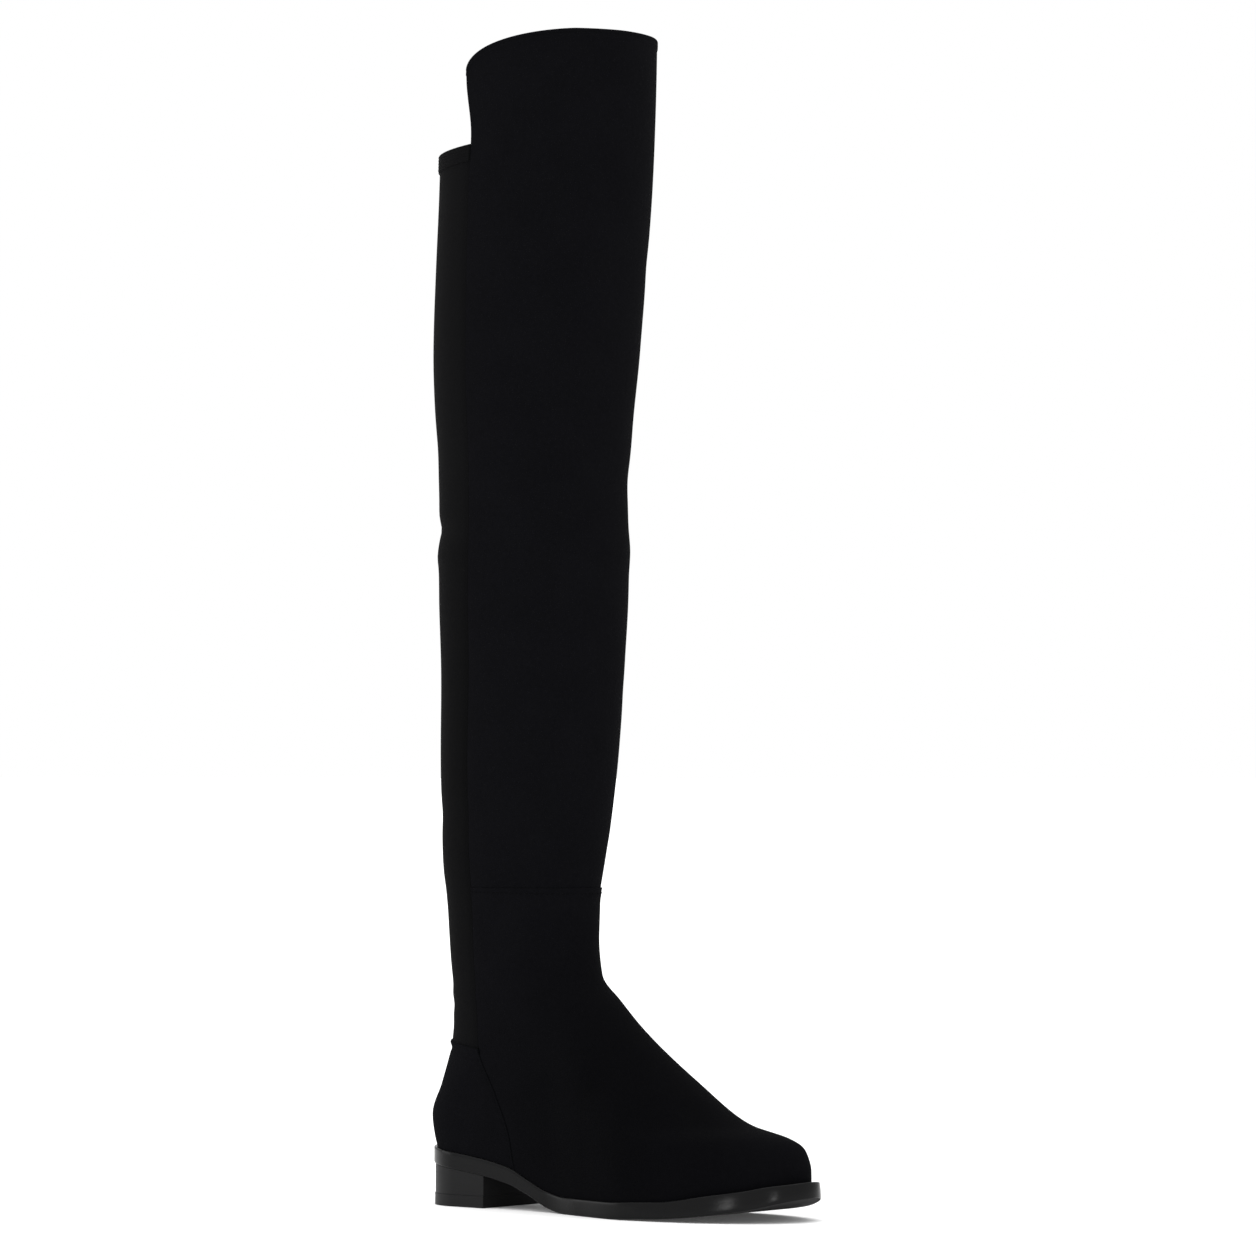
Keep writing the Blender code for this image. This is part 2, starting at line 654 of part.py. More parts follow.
def make_shaft_back():
    across = np.linspace(-1, 1, 2 * BACK_COLUMNS + 1)
    band = BAND_HEIGHT / SHAFT_RISE
    low = [COUNTER_LEVEL + GAP / FOOT_RISE] + [level for level in FOOT_LEVELS if level > COUNTER_LEVEL]
    rows = [np.full_like(across, level) for level in low + list(SHAFT_LEVELS[1:-1])]
    top = SHAFT_LEVELS[-1] - BACK_DIP / SHAFT_RISE * (1 - across**2)
    rows += [top - band, top - band * (1 - STEP_SLOPE), top]
    levels = np.array(rows)
    turns = back_turns(levels, GAP / 2)
    proud = np.zeros_like(turns)
    proud[-2:] = BAND_STEP
    return panel("shaft_back", levels, turns, proud, STRETCH_WALL, STRETCH)


make_outsole()
make_heel()
make_insole()
make_upper()
make_counter()
make_shaft_front()
make_shaft_back()
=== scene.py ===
# %% [markdown]
# # A thigh high boot in black suede
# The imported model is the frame: it fixes every size and place. This script dresses it. Each soft
# piece is made again with finer faces, rolled edges, seams and stitches, and every visible surface
# gets a finish that a camera can read.

# %% Load the frame
import math

import bmesh
import bpy
import numpy as np
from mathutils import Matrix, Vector


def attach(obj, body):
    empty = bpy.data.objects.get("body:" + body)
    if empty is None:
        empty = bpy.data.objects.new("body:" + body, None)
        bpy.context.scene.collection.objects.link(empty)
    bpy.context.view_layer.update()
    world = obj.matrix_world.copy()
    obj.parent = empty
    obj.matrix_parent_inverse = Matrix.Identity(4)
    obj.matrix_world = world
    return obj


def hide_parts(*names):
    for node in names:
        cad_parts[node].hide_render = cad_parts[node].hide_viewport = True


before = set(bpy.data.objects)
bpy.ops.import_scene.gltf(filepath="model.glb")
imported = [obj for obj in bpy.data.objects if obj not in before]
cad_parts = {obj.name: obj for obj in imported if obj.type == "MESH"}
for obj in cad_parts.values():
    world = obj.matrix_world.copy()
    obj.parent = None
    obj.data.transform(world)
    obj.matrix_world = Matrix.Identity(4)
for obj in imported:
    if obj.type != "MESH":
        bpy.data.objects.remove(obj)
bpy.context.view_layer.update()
MM = 0.001
scene = bpy.context.scene


def add_object(name, data):
    """An object in the scene that holds a mesh, a light or a camera."""
    made = bpy.data.objects.new(name, data)
    scene.collection.objects.link(made)
    return made


# %% [markdown]
# ## Camera
# The photo was taken from far off, so its lines hardly converge. The camera stands 3.4 m away, turned
# just under 40 degrees from the boot's outer side towards its front, a quarter of a metre above the
# floor, and looks very slightly up. A long lens gives the photo's frame.

# %% Camera
IMAGE_SIZE = 1256
SENSOR = 36.0
TURN = math.radians(39.575)
PITCH = math.radians(1.4202)
DISTANCE = 3.400
EYE_HEIGHT = 0.2496
SIDE_STEP = 0.0867
FOCAL_PIXELS = 5847.8

camera_data = bpy.data.cameras.new("camera")
camera_data.sensor_fit = "HORIZONTAL"
camera_data.sensor_width = SENSOR
camera_data.lens = FOCAL_PIXELS / IMAGE_SIZE * SENSOR
camera = add_object("camera", camera_data)
camera.location = (
    math.sin(TURN) * DISTANCE + math.cos(TURN) * SIDE_STEP,
    -math.cos(TURN) * DISTANCE + math.sin(TURN) * SIDE_STEP,
    EYE_HEIGHT,
)
camera.rotation_euler = (math.pi / 2 + PITCH, 0.0, TURN)
scene.camera = camera
print("lens in mm", round(camera_data.lens, 1))

# %% [markdown]
# ## Floor and light
# A product photo on white is lit by a bright surround. The world is plain white, the floor is a pale
# matte sheet that glows a little, and a broad overhead light keeps it just past white, so that only
# the closest shadow under the sole is seen. A soft box lights the back of the boot, and two small
# low ones give the two glints on the toe's painted edge.

# %% Floor
FLOOR_SIZE = 400.0
FLOOR_WHITE = 0.93
FLOOR_GLOW = 0.05

half_floor = FLOOR_SIZE / 2
floor_corners = [(-half_floor, -half_floor, 0), (half_floor, -half_floor, 0)]
floor_corners += [(half_floor, half_floor, 0), (-half_floor, half_floor, 0)]
floor_mesh = bpy.data.meshes.new("floor")
floor_mesh.from_pydata(floor_corners, [], [(0, 1, 2, 3)])
floor = add_object("floor", floor_mesh)
floor_finish = bpy.data.materials.new("floor_paper")
floor_finish.use_nodes = True
floor_shader = floor_finish.node_tree.nodes["Principled BSDF"]
floor_shader.inputs["Base Color"].default_value = (FLOOR_WHITE, FLOOR_WHITE, FLOOR_WHITE, 1)
floor_shader.inputs["Roughness"].default_value = 1.0
floor_shader.inputs["Specular IOR Level"].default_value = 0.0
floor_shader.inputs["Emission Color"].default_value = (1, 1, 1, 1)
floor_shader.inputs["Emission Strength"].default_value = FLOOR_GLOW
floor_mesh.materials.append(floor_finish)
print("floor in m", FLOOR_SIZE)

# %% World and lights
OVERHEAD_STRENGTH = 1.9
OVERHEAD_SPREAD = math.radians(70)
# Name, place, target, size in metres, power in watts
SOFT_BOXES = (
    ("back_left", (-2.6, -1.5, 0.9), (0.0, 0.0, 0.35), 1.6, 21.0),
    ("glint_side", (0.650, -1.245, 0.05), (0.21, -0.031, 0.03), 0.18, 2.1),
    ("glint_front", (1.333, -0.695, 0.05), (0.228, -0.016, 0.03), 0.12, 1.1),
)

scene.view_settings.view_transform = "Standard"
scene.view_settings.look = "None"
scene.view_settings.exposure = 0.0
world = bpy.data.worlds.new("studio")
world.use_nodes = True
surround = world.node_tree.nodes["Background"]
surround.inputs["Color"].default_value = (1, 1, 1, 1)
surround.inputs["Strength"].default_value = 1.0
scene.world = world
overhead_data = bpy.data.lights.new("overhead", "SUN")
overhead_data.energy = OVERHEAD_STRENGTH
overhead_data.angle = OVERHEAD_SPREAD
add_object("overhead", overhead_data)
for name, place, target, size, power in SOFT_BOXES:
    box_data = bpy.data.lights.new(name, "AREA")
    box_data.shape = "SQUARE"
    box_data.size = size
    box_data.energy = power
    soft_box = add_object(name, box_data)
    soft_box.location = place
    aim = Vector(target) - Vector(place)
    soft_box.rotation_euler = aim.to_track_quat("-Z", "Y").to_euler()

# %% [markdown]
# ## The boot's sizes
# These are the solids' own sizes in metres. x runs from heel to toe, y to the inner side and z up. The
# origin is on the floor under the middle of the heel. A closer look at the photo asked for corrections
# of a millimetre or two after the solids were made. They are made here, as TOE_THICKENING is.

# %% Sizes
BOOT_HEIGHT = 0.672
BACK_DROP = 0.0642
BACK_HEIGHT = BOOT_HEIGHT - BACK_DROP
ANKLE_SEAM_HEIGHT = 0.184
COUNTER_HEIGHT = 0.097
HEEL_HEIGHT = 0.0343
TOE_SPRING = 0.0132
SOLE_LENGTH = 0.263
BALL_HALF = 0.0905 / 2
WAIST_HALF = 0.0535 / 2
HEEL_HALF = 0.0565 / 2
HEEL_WIDTH = 2 * HEEL_HALF
SOLE_THICKNESS = 0.0096
TOE_THICKENING = 0.0017
THICKEN_FROM = 0.74
THICKEN_OVER = 0.12
THIN_FROM = 0.94
THIN_OVER = 0.06
HEEL_ROUND = 0.029
TOE_ROUND = 0.050
HEEL_LENGTH = 0.048
HEEL_REST = HEEL_LENGTH / 2
TOP_PIECE_THICKNESS = 0.0068
BLOCK_INSET = 0.0009
SIDE_LEDGE = 0.0012
TOE_LEDGE = 0.0048
LEDGE_START = 0.6
TOE_BOX_HEIGHT = 0.051
THIGH_DEPTH = 0.1292
THIGH_WIDTH = 0.117
ANKLE_DEPTH = 0.0985
ANKLE_WIDTH = 0.0725
THIGH_FORWARD = 0.078
ANKLE_FORWARD = 0.0583
TOP_CORNER_DROP = 0.022
BACK_DIP = 0.004
FOOT_RISE = ANKLE_SEAM_HEIGHT - HEEL_HEIGHT
SHAFT_RISE = BOOT_HEIGHT - ANKLE_SEAM_HEIGHT
COUNTER_LEVEL = (COUNTER_HEIGHT - HEEL_HEIGHT) / FOOT_RISE
BACK_TOP_LEVEL = 1 + (BACK_HEIGHT - ANKLE_SEAM_HEIGHT) / SHAFT_RISE
SWELL = 0.04
SWELL_TOP = 0.36
NARROWING = 1.25
STRAIGHTENING = 1.2
EDGE_FADE = 0.3
EDGE_LEAN = 0.12
CORNER_START = 0.20
CORNER_POWER = 2.0
HALF_TURN = math.pi
print("rise of foot and shaft in mm", round(FOOT_RISE / MM, 1), round(SHAFT_RISE / MM, 1))

# %% [markdown]
# The tables hold the boot's lines as shares of those sizes: the sole from above, its underside, the
# back and front lines of the foot, and level sections of the shaft.

# %% Tables
# Sole: along, half width before the ends are rounded, middle
PLAN = (
    (0.00, 1.00 * HEEL_HALF, 0.000 * BALL_HALF),
    (0.12, 1.00 * HEEL_HALF, 0.000 * BALL_HALF),
    (0.25, 0.98 * HEEL_HALF, -0.022 * BALL_HALF),
    (0.38, 1.00 * WAIST_HALF, -0.075 * BALL_HALF),
    (0.50, 1.28 * WAIST_HALF, -0.095 * BALL_HALF),
    (0.66, 1.00 * BALL_HALF, -0.035 * BALL_HALF),
    (0.78, 0.94 * BALL_HALF, 0.012 * BALL_HALF),
    (0.88, 0.83 * BALL_HALF, 0.055 * BALL_HALF),
    (1.00, 0.74 * BALL_HALF, 0.150 * BALL_HALF),
)
# Underside: along, share of the heel seat's height, share of the toe spring
UNDERSIDE = (
    (0.000, 1.00, 0.00),
    (0.186, 0.77, 0.00),
    (0.270, 0.59, 0.00),
    (0.330, 0.32, 0.00),
    (0.385, 0.09, 0.00),
    (0.440, 0.00, 0.00),
    (0.600, 0.00, 0.00),
    (0.684, 0.00, 0.07),
    (0.740, 0.00, 0.11),
    (0.790, 0.00, 0.19),
    (0.830, 0.00, 0.27),
    (0.872, 0.00, 0.38),
    (0.920, 0.00, 0.545),
    (1.000, 0.00, 1.00),
)
# Back line of the foot: rise, forward as a share of the heel's width
BACK = (
    (0.00, 0.020),
    (0.12, -0.027),
    (0.25, 0.100),
    (0.42, 0.225),
    (0.55, 0.255),
    (0.75, 0.205),
)
# Front line of the foot: rise, along the sole, height
FRONT = (
    (0.05, 0.982, 0.56 * TOE_BOX_HEIGHT),
    (0.10, 0.967, 0.790 * TOE_BOX_HEIGHT),
    (0.16, 0.929, 0.928 * TOE_BOX_HEIGHT),
    (0.25, 0.8265, 0.2990 * ANKLE_SEAM_HEIGHT),
    (0.40, 0.700, 0.400 * ANKLE_SEAM_HEIGHT),
    (0.60, 0.543, 0.560 * ANKLE_SEAM_HEIGHT),
    (0.70, 0.478, 0.640 * ANKLE_SEAM_HEIGHT),
    (0.78, 0.4215, 0.720 * ANKLE_SEAM_HEIGHT),
    (0.88, 0.4085, 0.850 * ANKLE_SEAM_HEIGHT),
)
# Rounding behind the front line: rise, reach as a share of the toe's rounding
FRONT_ROUNDING = (
    (0.00, 0.96),
    (0.10, 1.20),
    (0.25, 1.50),
    (0.50, 1.45),
    (0.75, 1.20),
)
# Shaft: rise, then middle, depth and width as shares of the way from ankle to thigh, and the seam
SHAFT = (
    (0.00, 0.000, 0.000, 0.000, 0.555),
    (0.04, 0.035, 0.165, 0.140, 0.553),
    (0.07, 0.090, 0.250, 0.225, 0.552),
    (0.16, 0.230, 0.380, 0.418, 0.549),
    (0.26, 0.345, 0.477, 0.492, 0.546),
    (0.36, 0.380, 0.577, 0.590, 0.541),
    (0.45, 0.375, 0.561, 0.579, 0.537),
    (0.54, 0.395, 0.700, 0.690, 0.534),
    (0.63, 0.490, 0.858, 0.850, 0.533),
    (0.73, 0.670, 0.926, 0.917, 0.540),
    (0.82, 0.840, 0.952, 0.961, 0.546),
    (0.88, 0.910, 0.970, 0.975, 0.541),
    (0.95, 0.960, 0.985, 0.990, 0.566),
    (1.00, 0.985, 0.980, 1.000, 0.560),
)
# Edge of the heel counter and the side seam over it: rise, along the sole
LOW_SEAM = (
    (0.00, 0.285),
    (0.10, 0.275),
    (0.25, 0.240),
    (0.43, 0.190),
    (0.60, 0.192),
    (0.80, 0.190),
)
TABLES = (PLAN, UNDERSIDE, BACK, FRONT, FRONT_ROUNDING, SHAFT, LOW_SEAM)
print("rows in the tables", [len(table) for table in TABLES])

# %% [markdown]
# ## One surface for everything soft
# A boot is pulled over a last, so all its panels lie on one surface. The level is 0 on the sole's
# edge, 1 at the ankle seam and 2 at the top. The turn is 0 down the front and half a turn down the
# back, negative on the outer side. A panel is then only a stretch of levels and turns.

# %% Curves through the tables


def smooth(rows, column, at):
    """A smooth value of one column of a table that never passes its rows' own highs and lows."""
    steps = np.array([row[0] for row in rows], float)
    values = np.array([row[column] for row in rows], float)
    rise = np.diff(values) / np.diff(steps)
    before, after = rise[:-1], rise[1:]
    turning = before * after <= 0
    total = np.where(turning, 1.0, before + after)
    inner = np.where(turning, 0.0, 2 * before * after / total)
    slopes = np.concatenate([rise[:1], inner, rise[-1:]])
    at = np.clip(np.asarray(at, float), steps[0], steps[-1])
    place = np.clip(np.searchsorted(steps, at, side="right") - 1, 0, len(steps) - 2)
    span = steps[place + 1] - steps[place]
    share = (at - steps[place]) / span
    start = (1 + 2 * share) * (1 - share) ** 2 * values[place]
    start_slope = share * (1 - share) ** 2 * span * slopes[place]
    end = share**2 * (3 - 2 * share) * values[place + 1]
    end_slope = share**2 * (share - 1) * span * slopes[place + 1]
    return start + start_slope + end + end_slope


def ease(share):
    """A share kept from 0 to 1, with a gentle start and end."""
    share = np.clip(share, 0, 1)
    return share * share * (3 - 2 * share)


def ramp(value, start, over):
    """A gentle rise from 0 at a start to 1 where the value has gone over a stretch."""
    return ease((value - start) / over)


def rounded(distance, reach):
    """The part of the full half width that a section has at this distance from its end."""
    short = 1 - np.clip(distance / reach, 0, 1)
    return np.sqrt(np.maximum(1 - short**2, 0))


print("half width at the ball in mm", round(float(smooth(PLAN, 1, 0.66)) / MM, 2))

# %% Sole lines


def share_along(x):
    """How far along the sole an x lies, from 0 at the heel's back to 1 at the toe."""
    return (x + HEEL_REST) / SOLE_LENGTH


def x_along(share):
    """The x at a share of the way along the sole."""
    return share * SOLE_LENGTH - HEEL_REST


def underside(x):
    """Height of the sole's lower face at x."""
    seat = (HEEL_HEIGHT - SOLE_THICKNESS) * smooth(UNDERSIDE, 1, share_along(x))
    return seat + TOE_SPRING * smooth(UNDERSIDE, 2, share_along(x))


def seat_top(x):
    """Height of the sole's upper face at x. The sole is a little thicker between ball and toe."""
    along = share_along(x)
    thicker = ramp(along, THICKEN_FROM, THICKEN_OVER) * (1 - ramp(along, THIN_FROM, THIN_OVER))
    return underside(x) + SOLE_THICKNESS + TOE_THICKENING * thicker


def sole_outline(turns):
    """The sole's edge seen from above, at turns round it."""
    along = (1 + np.cos(turns)) / 2
    ends = rounded(along * SOLE_LENGTH, HEEL_ROUND) * rounded((1 - along) * SOLE_LENGTH, TOE_ROUND)
    y = smooth(PLAN, 2, along) + np.sign(np.sin(turns)) * smooth(PLAN, 1, along) * ends
    return np.stack([x_along(along), y], axis=-1)


def drawn_in(outline, distance):
    """A closed outline moved in by a distance, which may differ from point to point."""
    along = np.roll(outline, -1, axis=0) - np.roll(outline, 1, axis=0)
    along /= np.linalg.norm(along, axis=1, keepdims=True)
    inward = np.stack([-along[:, 1], along[:, 0]], axis=-1)
    return outline + inward * np.reshape(distance, (-1, 1))


def ledge(x):
    """How far the sole stands out past the upper."""
    return SIDE_LEDGE + (TOE_LEDGE - SIDE_LEDGE) * ramp(share_along(x), LEDGE_START, 1 - LEDGE_START)


EDGE_TURNS = np.linspace(-HALF_TURN, HALF_TURN, 720, endpoint=False)


def point_round(edge, turns):
    """The x and y of an edge that is given at EDGE_TURNS, at any other turns."""
    return [np.interp(turns, EDGE_TURNS, edge[:, axis], period=2 * HALF_TURN) for axis in (0, 1)]


SOLE_EDGE = sole_outline(EDGE_TURNS)
UPPER_EDGE = drawn_in(SOLE_EDGE, ledge(SOLE_EDGE[:, 0]))
print("sole in mm", np.ptp(SOLE_EDGE, axis=0).round(4) / MM)

# %% Foot and shaft


def shaft_section(rise):
    """Middle, half depth and half width of the shaft at a share of the way up from the ankle."""
    middle = ANKLE_FORWARD + (THIGH_FORWARD - ANKLE_FORWARD) * smooth(SHAFT, 1, rise)
    depth = ANKLE_DEPTH + (THIGH_DEPTH - ANKLE_DEPTH) * smooth(SHAFT, 2, rise)
    width = ANKLE_WIDTH + (THIGH_WIDTH - ANKLE_WIDTH) * smooth(SHAFT, 3, rise)
    return middle - HEEL_REST, depth / 2, width / 2


ANKLE_MIDDLE, ANKLE_HALF_DEPTH, ANKLE_HALF_WIDTH = shaft_section(0.0)
TOE_X = UPPER_EDGE[:, 0].max()
BACK_LINE = BACK + ((1.0, (ANKLE_MIDDLE - ANKLE_HALF_DEPTH + HEEL_REST) / HEEL_WIDTH),)
TOE_EDGE = (0.0, share_along(TOE_X), seat_top(TOE_X))
SHIN = (1.0, share_along(ANKLE_MIDDLE + ANKLE_HALF_DEPTH), ANKLE_SEAM_HEIGHT)
FRONT_LINE = (TOE_EDGE,) + FRONT + (SHIN,)
ROUNDING = FRONT_ROUNDING + ((1.0, ANKLE_HALF_DEPTH / TOE_ROUND),)
ANKLE_SEAM_X = ANKLE_MIDDLE + ANKLE_HALF_DEPTH * math.cos(SHAFT[0][4] * HALF_TURN)
LOW_SEAM_LINE = LOW_SEAM + ((1.0, share_along(ANKLE_SEAM_X)),)


def foot_ends(level):
    """The x of the foot's back line and of its front line at a level."""
    return smooth(BACK_LINE, 1, level) * HEEL_WIDTH - HEEL_REST, x_along(smooth(FRONT_LINE, 1, level))


def foot_point(level, turn):
    """A point of the foot: a section between the back line and the front line, wide as the last."""
    back_x, front_x = foot_ends(level)
    back_z = seat_top(back_x) + (ANKLE_SEAM_HEIGHT - seat_top(back_x)) * level
    front_z = smooth(FRONT_LINE, 2, level)
    back = (1 - np.cos(turn)) / 2
    x = front_x + back * (back_x - front_x)
    chord_z = front_z + back * (back_z - front_z)
    edge_z = TOE_EDGE[2] + back * (seat_top(back_x) - TOE_EDGE[2])
    z = chord_z + (seat_top(x) - edge_z) * (1 - level) ** 3
    length = front_x - back_x
    along = share_along(x)
    swollen = 1 + SWELL * np.sin(HALF_TURN * np.clip(level / SWELL_TOP, 0, 1))
    last = smooth(PLAN, 1, along) * swollen
    half = last + (ANKLE_HALF_WIDTH - last) * ease(level**NARROWING)
    heel_reach = HEEL_ROUND + (ANKLE_HALF_DEPTH - HEEL_ROUND) * ease(level)
    front_reach = smooth(ROUNDING, 1, level) * TOE_ROUND
    ends = rounded(back * length, front_reach) * rounded((1 - back) * length, heel_reach)
    middle = smooth(PLAN, 2, along) * (1 - ease(level * STRAIGHTENING))
    return x, middle + np.sign(np.sin(turn)) * half * ends, z


def shaft_point(level, turn):
    """A point of the shaft: an oval level section."""
    middle, half_depth, half_width = shaft_section(level - 1)
    z = ANKLE_SEAM_HEIGHT + (level - 1) * SHAFT_RISE
    return middle + half_depth * np.cos(turn), half_width * np.sin(turn), z


def boot_surface(level, turn):
    """Points of the whole boot's surface: the foot below the ankle seam and the shaft above it."""
    level, turn = np.broadcast_arrays(np.asarray(level, float), np.asarray(turn, float))
    foot = np.stack(foot_point(np.clip(level, 0, 1), turn), axis=-1)
    start = np.stack(foot_point(np.zeros_like(level), turn), axis=-1)
    edge_x, edge_y = point_round(UPPER_EDGE, turn)
    edge = np.stack([edge_x, edge_y, seat_top(edge_x)], axis=-1)
    fade = np.clip(1 - level / EDGE_FADE, 0, 1)[..., None] ** 2
    shaft = np.stack(shaft_point(np.clip(level, 1, 2), turn), axis=-1)
    return np.where(level[..., None] <= 1, foot + (edge - start) * fade, shaft)


PROBE = 0.003
LOWEST_LEVEL = 0.001


def outward(level, turn):
    """Unit normals of the surface, from the points a little to each side."""
    low = np.clip(level - PROBE, LOWEST_LEVEL, 2)
    high = np.clip(level + PROBE, LOWEST_LEVEL, 2)
    up = boot_surface(high, turn) - boot_surface(low, turn)
    across = boot_surface(level, turn + PROBE) - boot_surface(level, turn - PROBE)
    normal = np.cross(across, up)
    return normal / np.linalg.norm(normal, axis=-1, keepdims=True)


def seam_turn(level):
    """The turn at which the side seam lies, on either side."""
    level = np.asarray(level, float)
    low = np.clip(level, 0, 1)
    back_x, front_x = foot_ends(low)
    seam_x = x_along(smooth(LOW_SEAM_LINE, 1, low))
    foot = np.arccos(1 - 2 * (front_x - seam_x) / (front_x - back_x))
    return np.where(level <= 1, foot, smooth(SHAFT, 4, np.clip(level - 1, 0, 1)) * HALF_TURN)


def moved(level, turn, distance):
    """A turn moved round the surface by a distance, towards the back where it is positive."""
    near = boot_surface(level, turn + PROBE) - boot_surface(level, turn - PROBE)
    return turn + distance * 2 * PROBE / np.linalg.norm(near, axis=-1)


def level_of(height):
    """The level of a height on the shaft."""
    return 1 + (height - ANKLE_SEAM_HEIGHT) / SHAFT_RISE


print("top of the surface in mm", boot_surface(2.0, 0.0).round(4) / MM)

# %% [markdown]
# ## Creases
# Suede over foam creases softly. Each crease here is given one by one: where it starts and ends,
# how wide and how deep it is. A trough pushes the surface in and a ridge lifts it, both with a soft
# profile that fades towards the ends.

# %% Creases
# Height and turn of each end, width and depth in mm. A negative depth is a ridge.
CREASES = (
    (0.420, -0.30, 0.416, 1.40, 22.0, 0.7),
    (0.415, -0.10, 0.405, -0.95, 15.0, 0.5),
    (0.379, -0.30, 0.376, 1.40, 22.0, -1.0),
    (0.382, 0.25, 0.385, -1.05, 16.0, -0.4),
    (0.392, 2.40, 0.3895, 4.40, 11.0, 1.5),
    (0.376, 2.30, 0.371, 3.30, 10.0, -0.5),
    (0.374, 3.00, 0.3745, 4.50, 12.0, -0.8),
    (0.358, 2.60, 0.356, 3.70, 10.0, 0.5),
    (0.190, 2.60, 0.190, 4.60, 26.0, -0.8),
    (0.437, 2.50, 0.437, 4.60, 28.0, 0.6),
    (0.226, 2.50, 0.226, 4.60, 18.0, 0.6),
    (0.122, 2.70, 0.122, 4.50, 9.0, -0.6),
    (0.0912, 2.60, 0.0912, 4.40, 6.0, 0.6),
    (0.163, -0.60, 0.150, -1.55, 11.0, 0.30),
    (0.147, -0.55, 0.132, -1.45, 12.0, 0.35),
    (0.130, -0.50, 0.112, -1.35, 12.0, 0.30),
    (0.139, -0.55, 0.122, -1.40, 11.0, -0.20),
    (0.163, 0.95, 0.152, 1.65, 11.0, 0.30),
    (0.147, 0.95, 0.134, 1.60, 12.0, 0.35),
    (0.130, 0.95, 0.114, 1.50, 12.0, 0.30),
    (0.139, 0.95, 0.124, 1.55, 11.0, -0.20),
    (0.126, 2.35, 0.122, 3.40, 10.0, 0.3),
    (0.112, 2.45, 0.110, 3.85, 9.0, -0.4),
    (0.255, -0.50, 0.238, -1.50, 18.0, 0.5),
    (0.300, 0.60, 0.285, 1.50, 18.0, 0.4),
    (0.520, -0.60, 0.500, -1.55, 22.0, 0.4),
    (0.545, 0.50, 0.520, 1.45, 22.0, 0.4),
)
CREASE_RADIUS = 0.045
CREASE_FADE = 3
CREASE_FADE_START = 0.5
CREASES_FROM = 0.2
NAP_HEIGHT = 0.0002


def crease_depth(height, turn):
    """How far in the creases push the surface at a height and turn."""
    total = np.zeros_like(height)
    for start_z, start_turn, end_z, end_turn, width, depth in CREASES:
        for whole in (-2 * HALF_TURN, 0.0, 2 * HALF_TURN):
            round_at = (turn + whole - start_turn) * CREASE_RADIUS
            span_round = (end_turn - start_turn) * CREASE_RADIUS
            span_up = end_z - start_z
            length = math.hypot(span_round, span_up)
            along = (round_at * span_round + (height - start_z) * span_up) / length**2
            off = np.abs(round_at * span_up - (height - start_z) * span_round) / length
            fade = ease(along * CREASE_FADE + CREASE_FADE_START)
            fade = fade * ease((1 - along) * CREASE_FADE + CREASE_FADE_START)
            total += depth * MM * fade * np.exp(-((off / (width * MM / 2)) ** 2))
    return total


def laid(level, turn, depth):
    """Points under the creased surface by a depth, level on the sole's edge."""
    level, turn = np.broadcast_arrays(np.asarray(level, float), np.asarray(turn, float))
    points = boot_surface(level, turn)
    normals = outward(level, turn)
    normals[..., 2] *= ease(level / EDGE_LEAN)
    normals /= np.linalg.norm(normals, axis=-1, keepdims=True)
    creased = crease_depth(points[..., 2], turn) * ease(level / CREASES_FROM)
    placed = points - normals * (depth - NAP_HEIGHT + creased)[..., None]
    placed[..., 2] = np.where(level <= 0, seat_top(placed[..., 0]), placed[..., 2])
    return placed


print("creases", len(CREASES))

# %% [markdown]
# ## Meshes from grids
# A panel is a grid of points for its outer face and one for its inner face, joined round the rim.
# Its edges roll in, because leather is turned under or skived at a seam. The roll needs a few close
# rows and columns at each edge. A UV map in metres lets a weave follow the panel.

# %% Grid helpers
ROLL_STEPS = (0.0, 0.0001, 0.0003, 0.0006, 0.0010, 0.0016)
LEAST_WALL = 0.0002


def steps_across(length, count, end_fine=True):
    """Shares from 0 to 1 with close steps at the ends and even ones between."""
    low = np.array(ROLL_STEPS) / length
    high = 1 - low[::-1] if end_fine else np.array([1.0])
    return np.concatenate([low, np.linspace(low[-1], high[0], count + 2)[1:-1], high])


def roll(distance, radius):
    """How far a turned edge drops at a distance from it."""
    if radius == 0:
        return np.zeros_like(distance)
    near = np.clip(1 - distance / radius, 0, 1)
    return radius * (1 - np.sqrt(1 - near**2))


def lengths(points, axis):
    """Distance travelled along an axis of a grid from its first row or column."""
    step = np.linalg.norm(np.diff(points, axis=axis), axis=-1)
    start = np.zeros_like(np.take(step, [0], axis=axis))
    return np.concatenate([start, np.cumsum(step, axis=axis)], axis=axis)


def add_piece(name, points, faces, uvs=None):
    """A mesh object at the origin with smooth faces, and a UV map in metres where one is given."""
    mesh = bpy.data.meshes.new(name)
    mesh.from_pydata([tuple(p) for p in points], [], faces)
    mesh.validate()
    shape = bmesh.new()
    shape.from_mesh(mesh)
    bmesh.ops.recalc_face_normals(shape, faces=shape.faces)
    shape.to_mesh(mesh)
    shape.free()
    if uvs is not None:
        layer = mesh.uv_layers.new(name="metres")
        corner = np.zeros(len(mesh.loops), int)
        mesh.loops.foreach_get("vertex_index", corner)
        layer.data.foreach_set("uv", np.asarray(uvs)[corner].astype(np.float32).ravel())
    mesh.shade_smooth()
    return add_object(name, mesh)


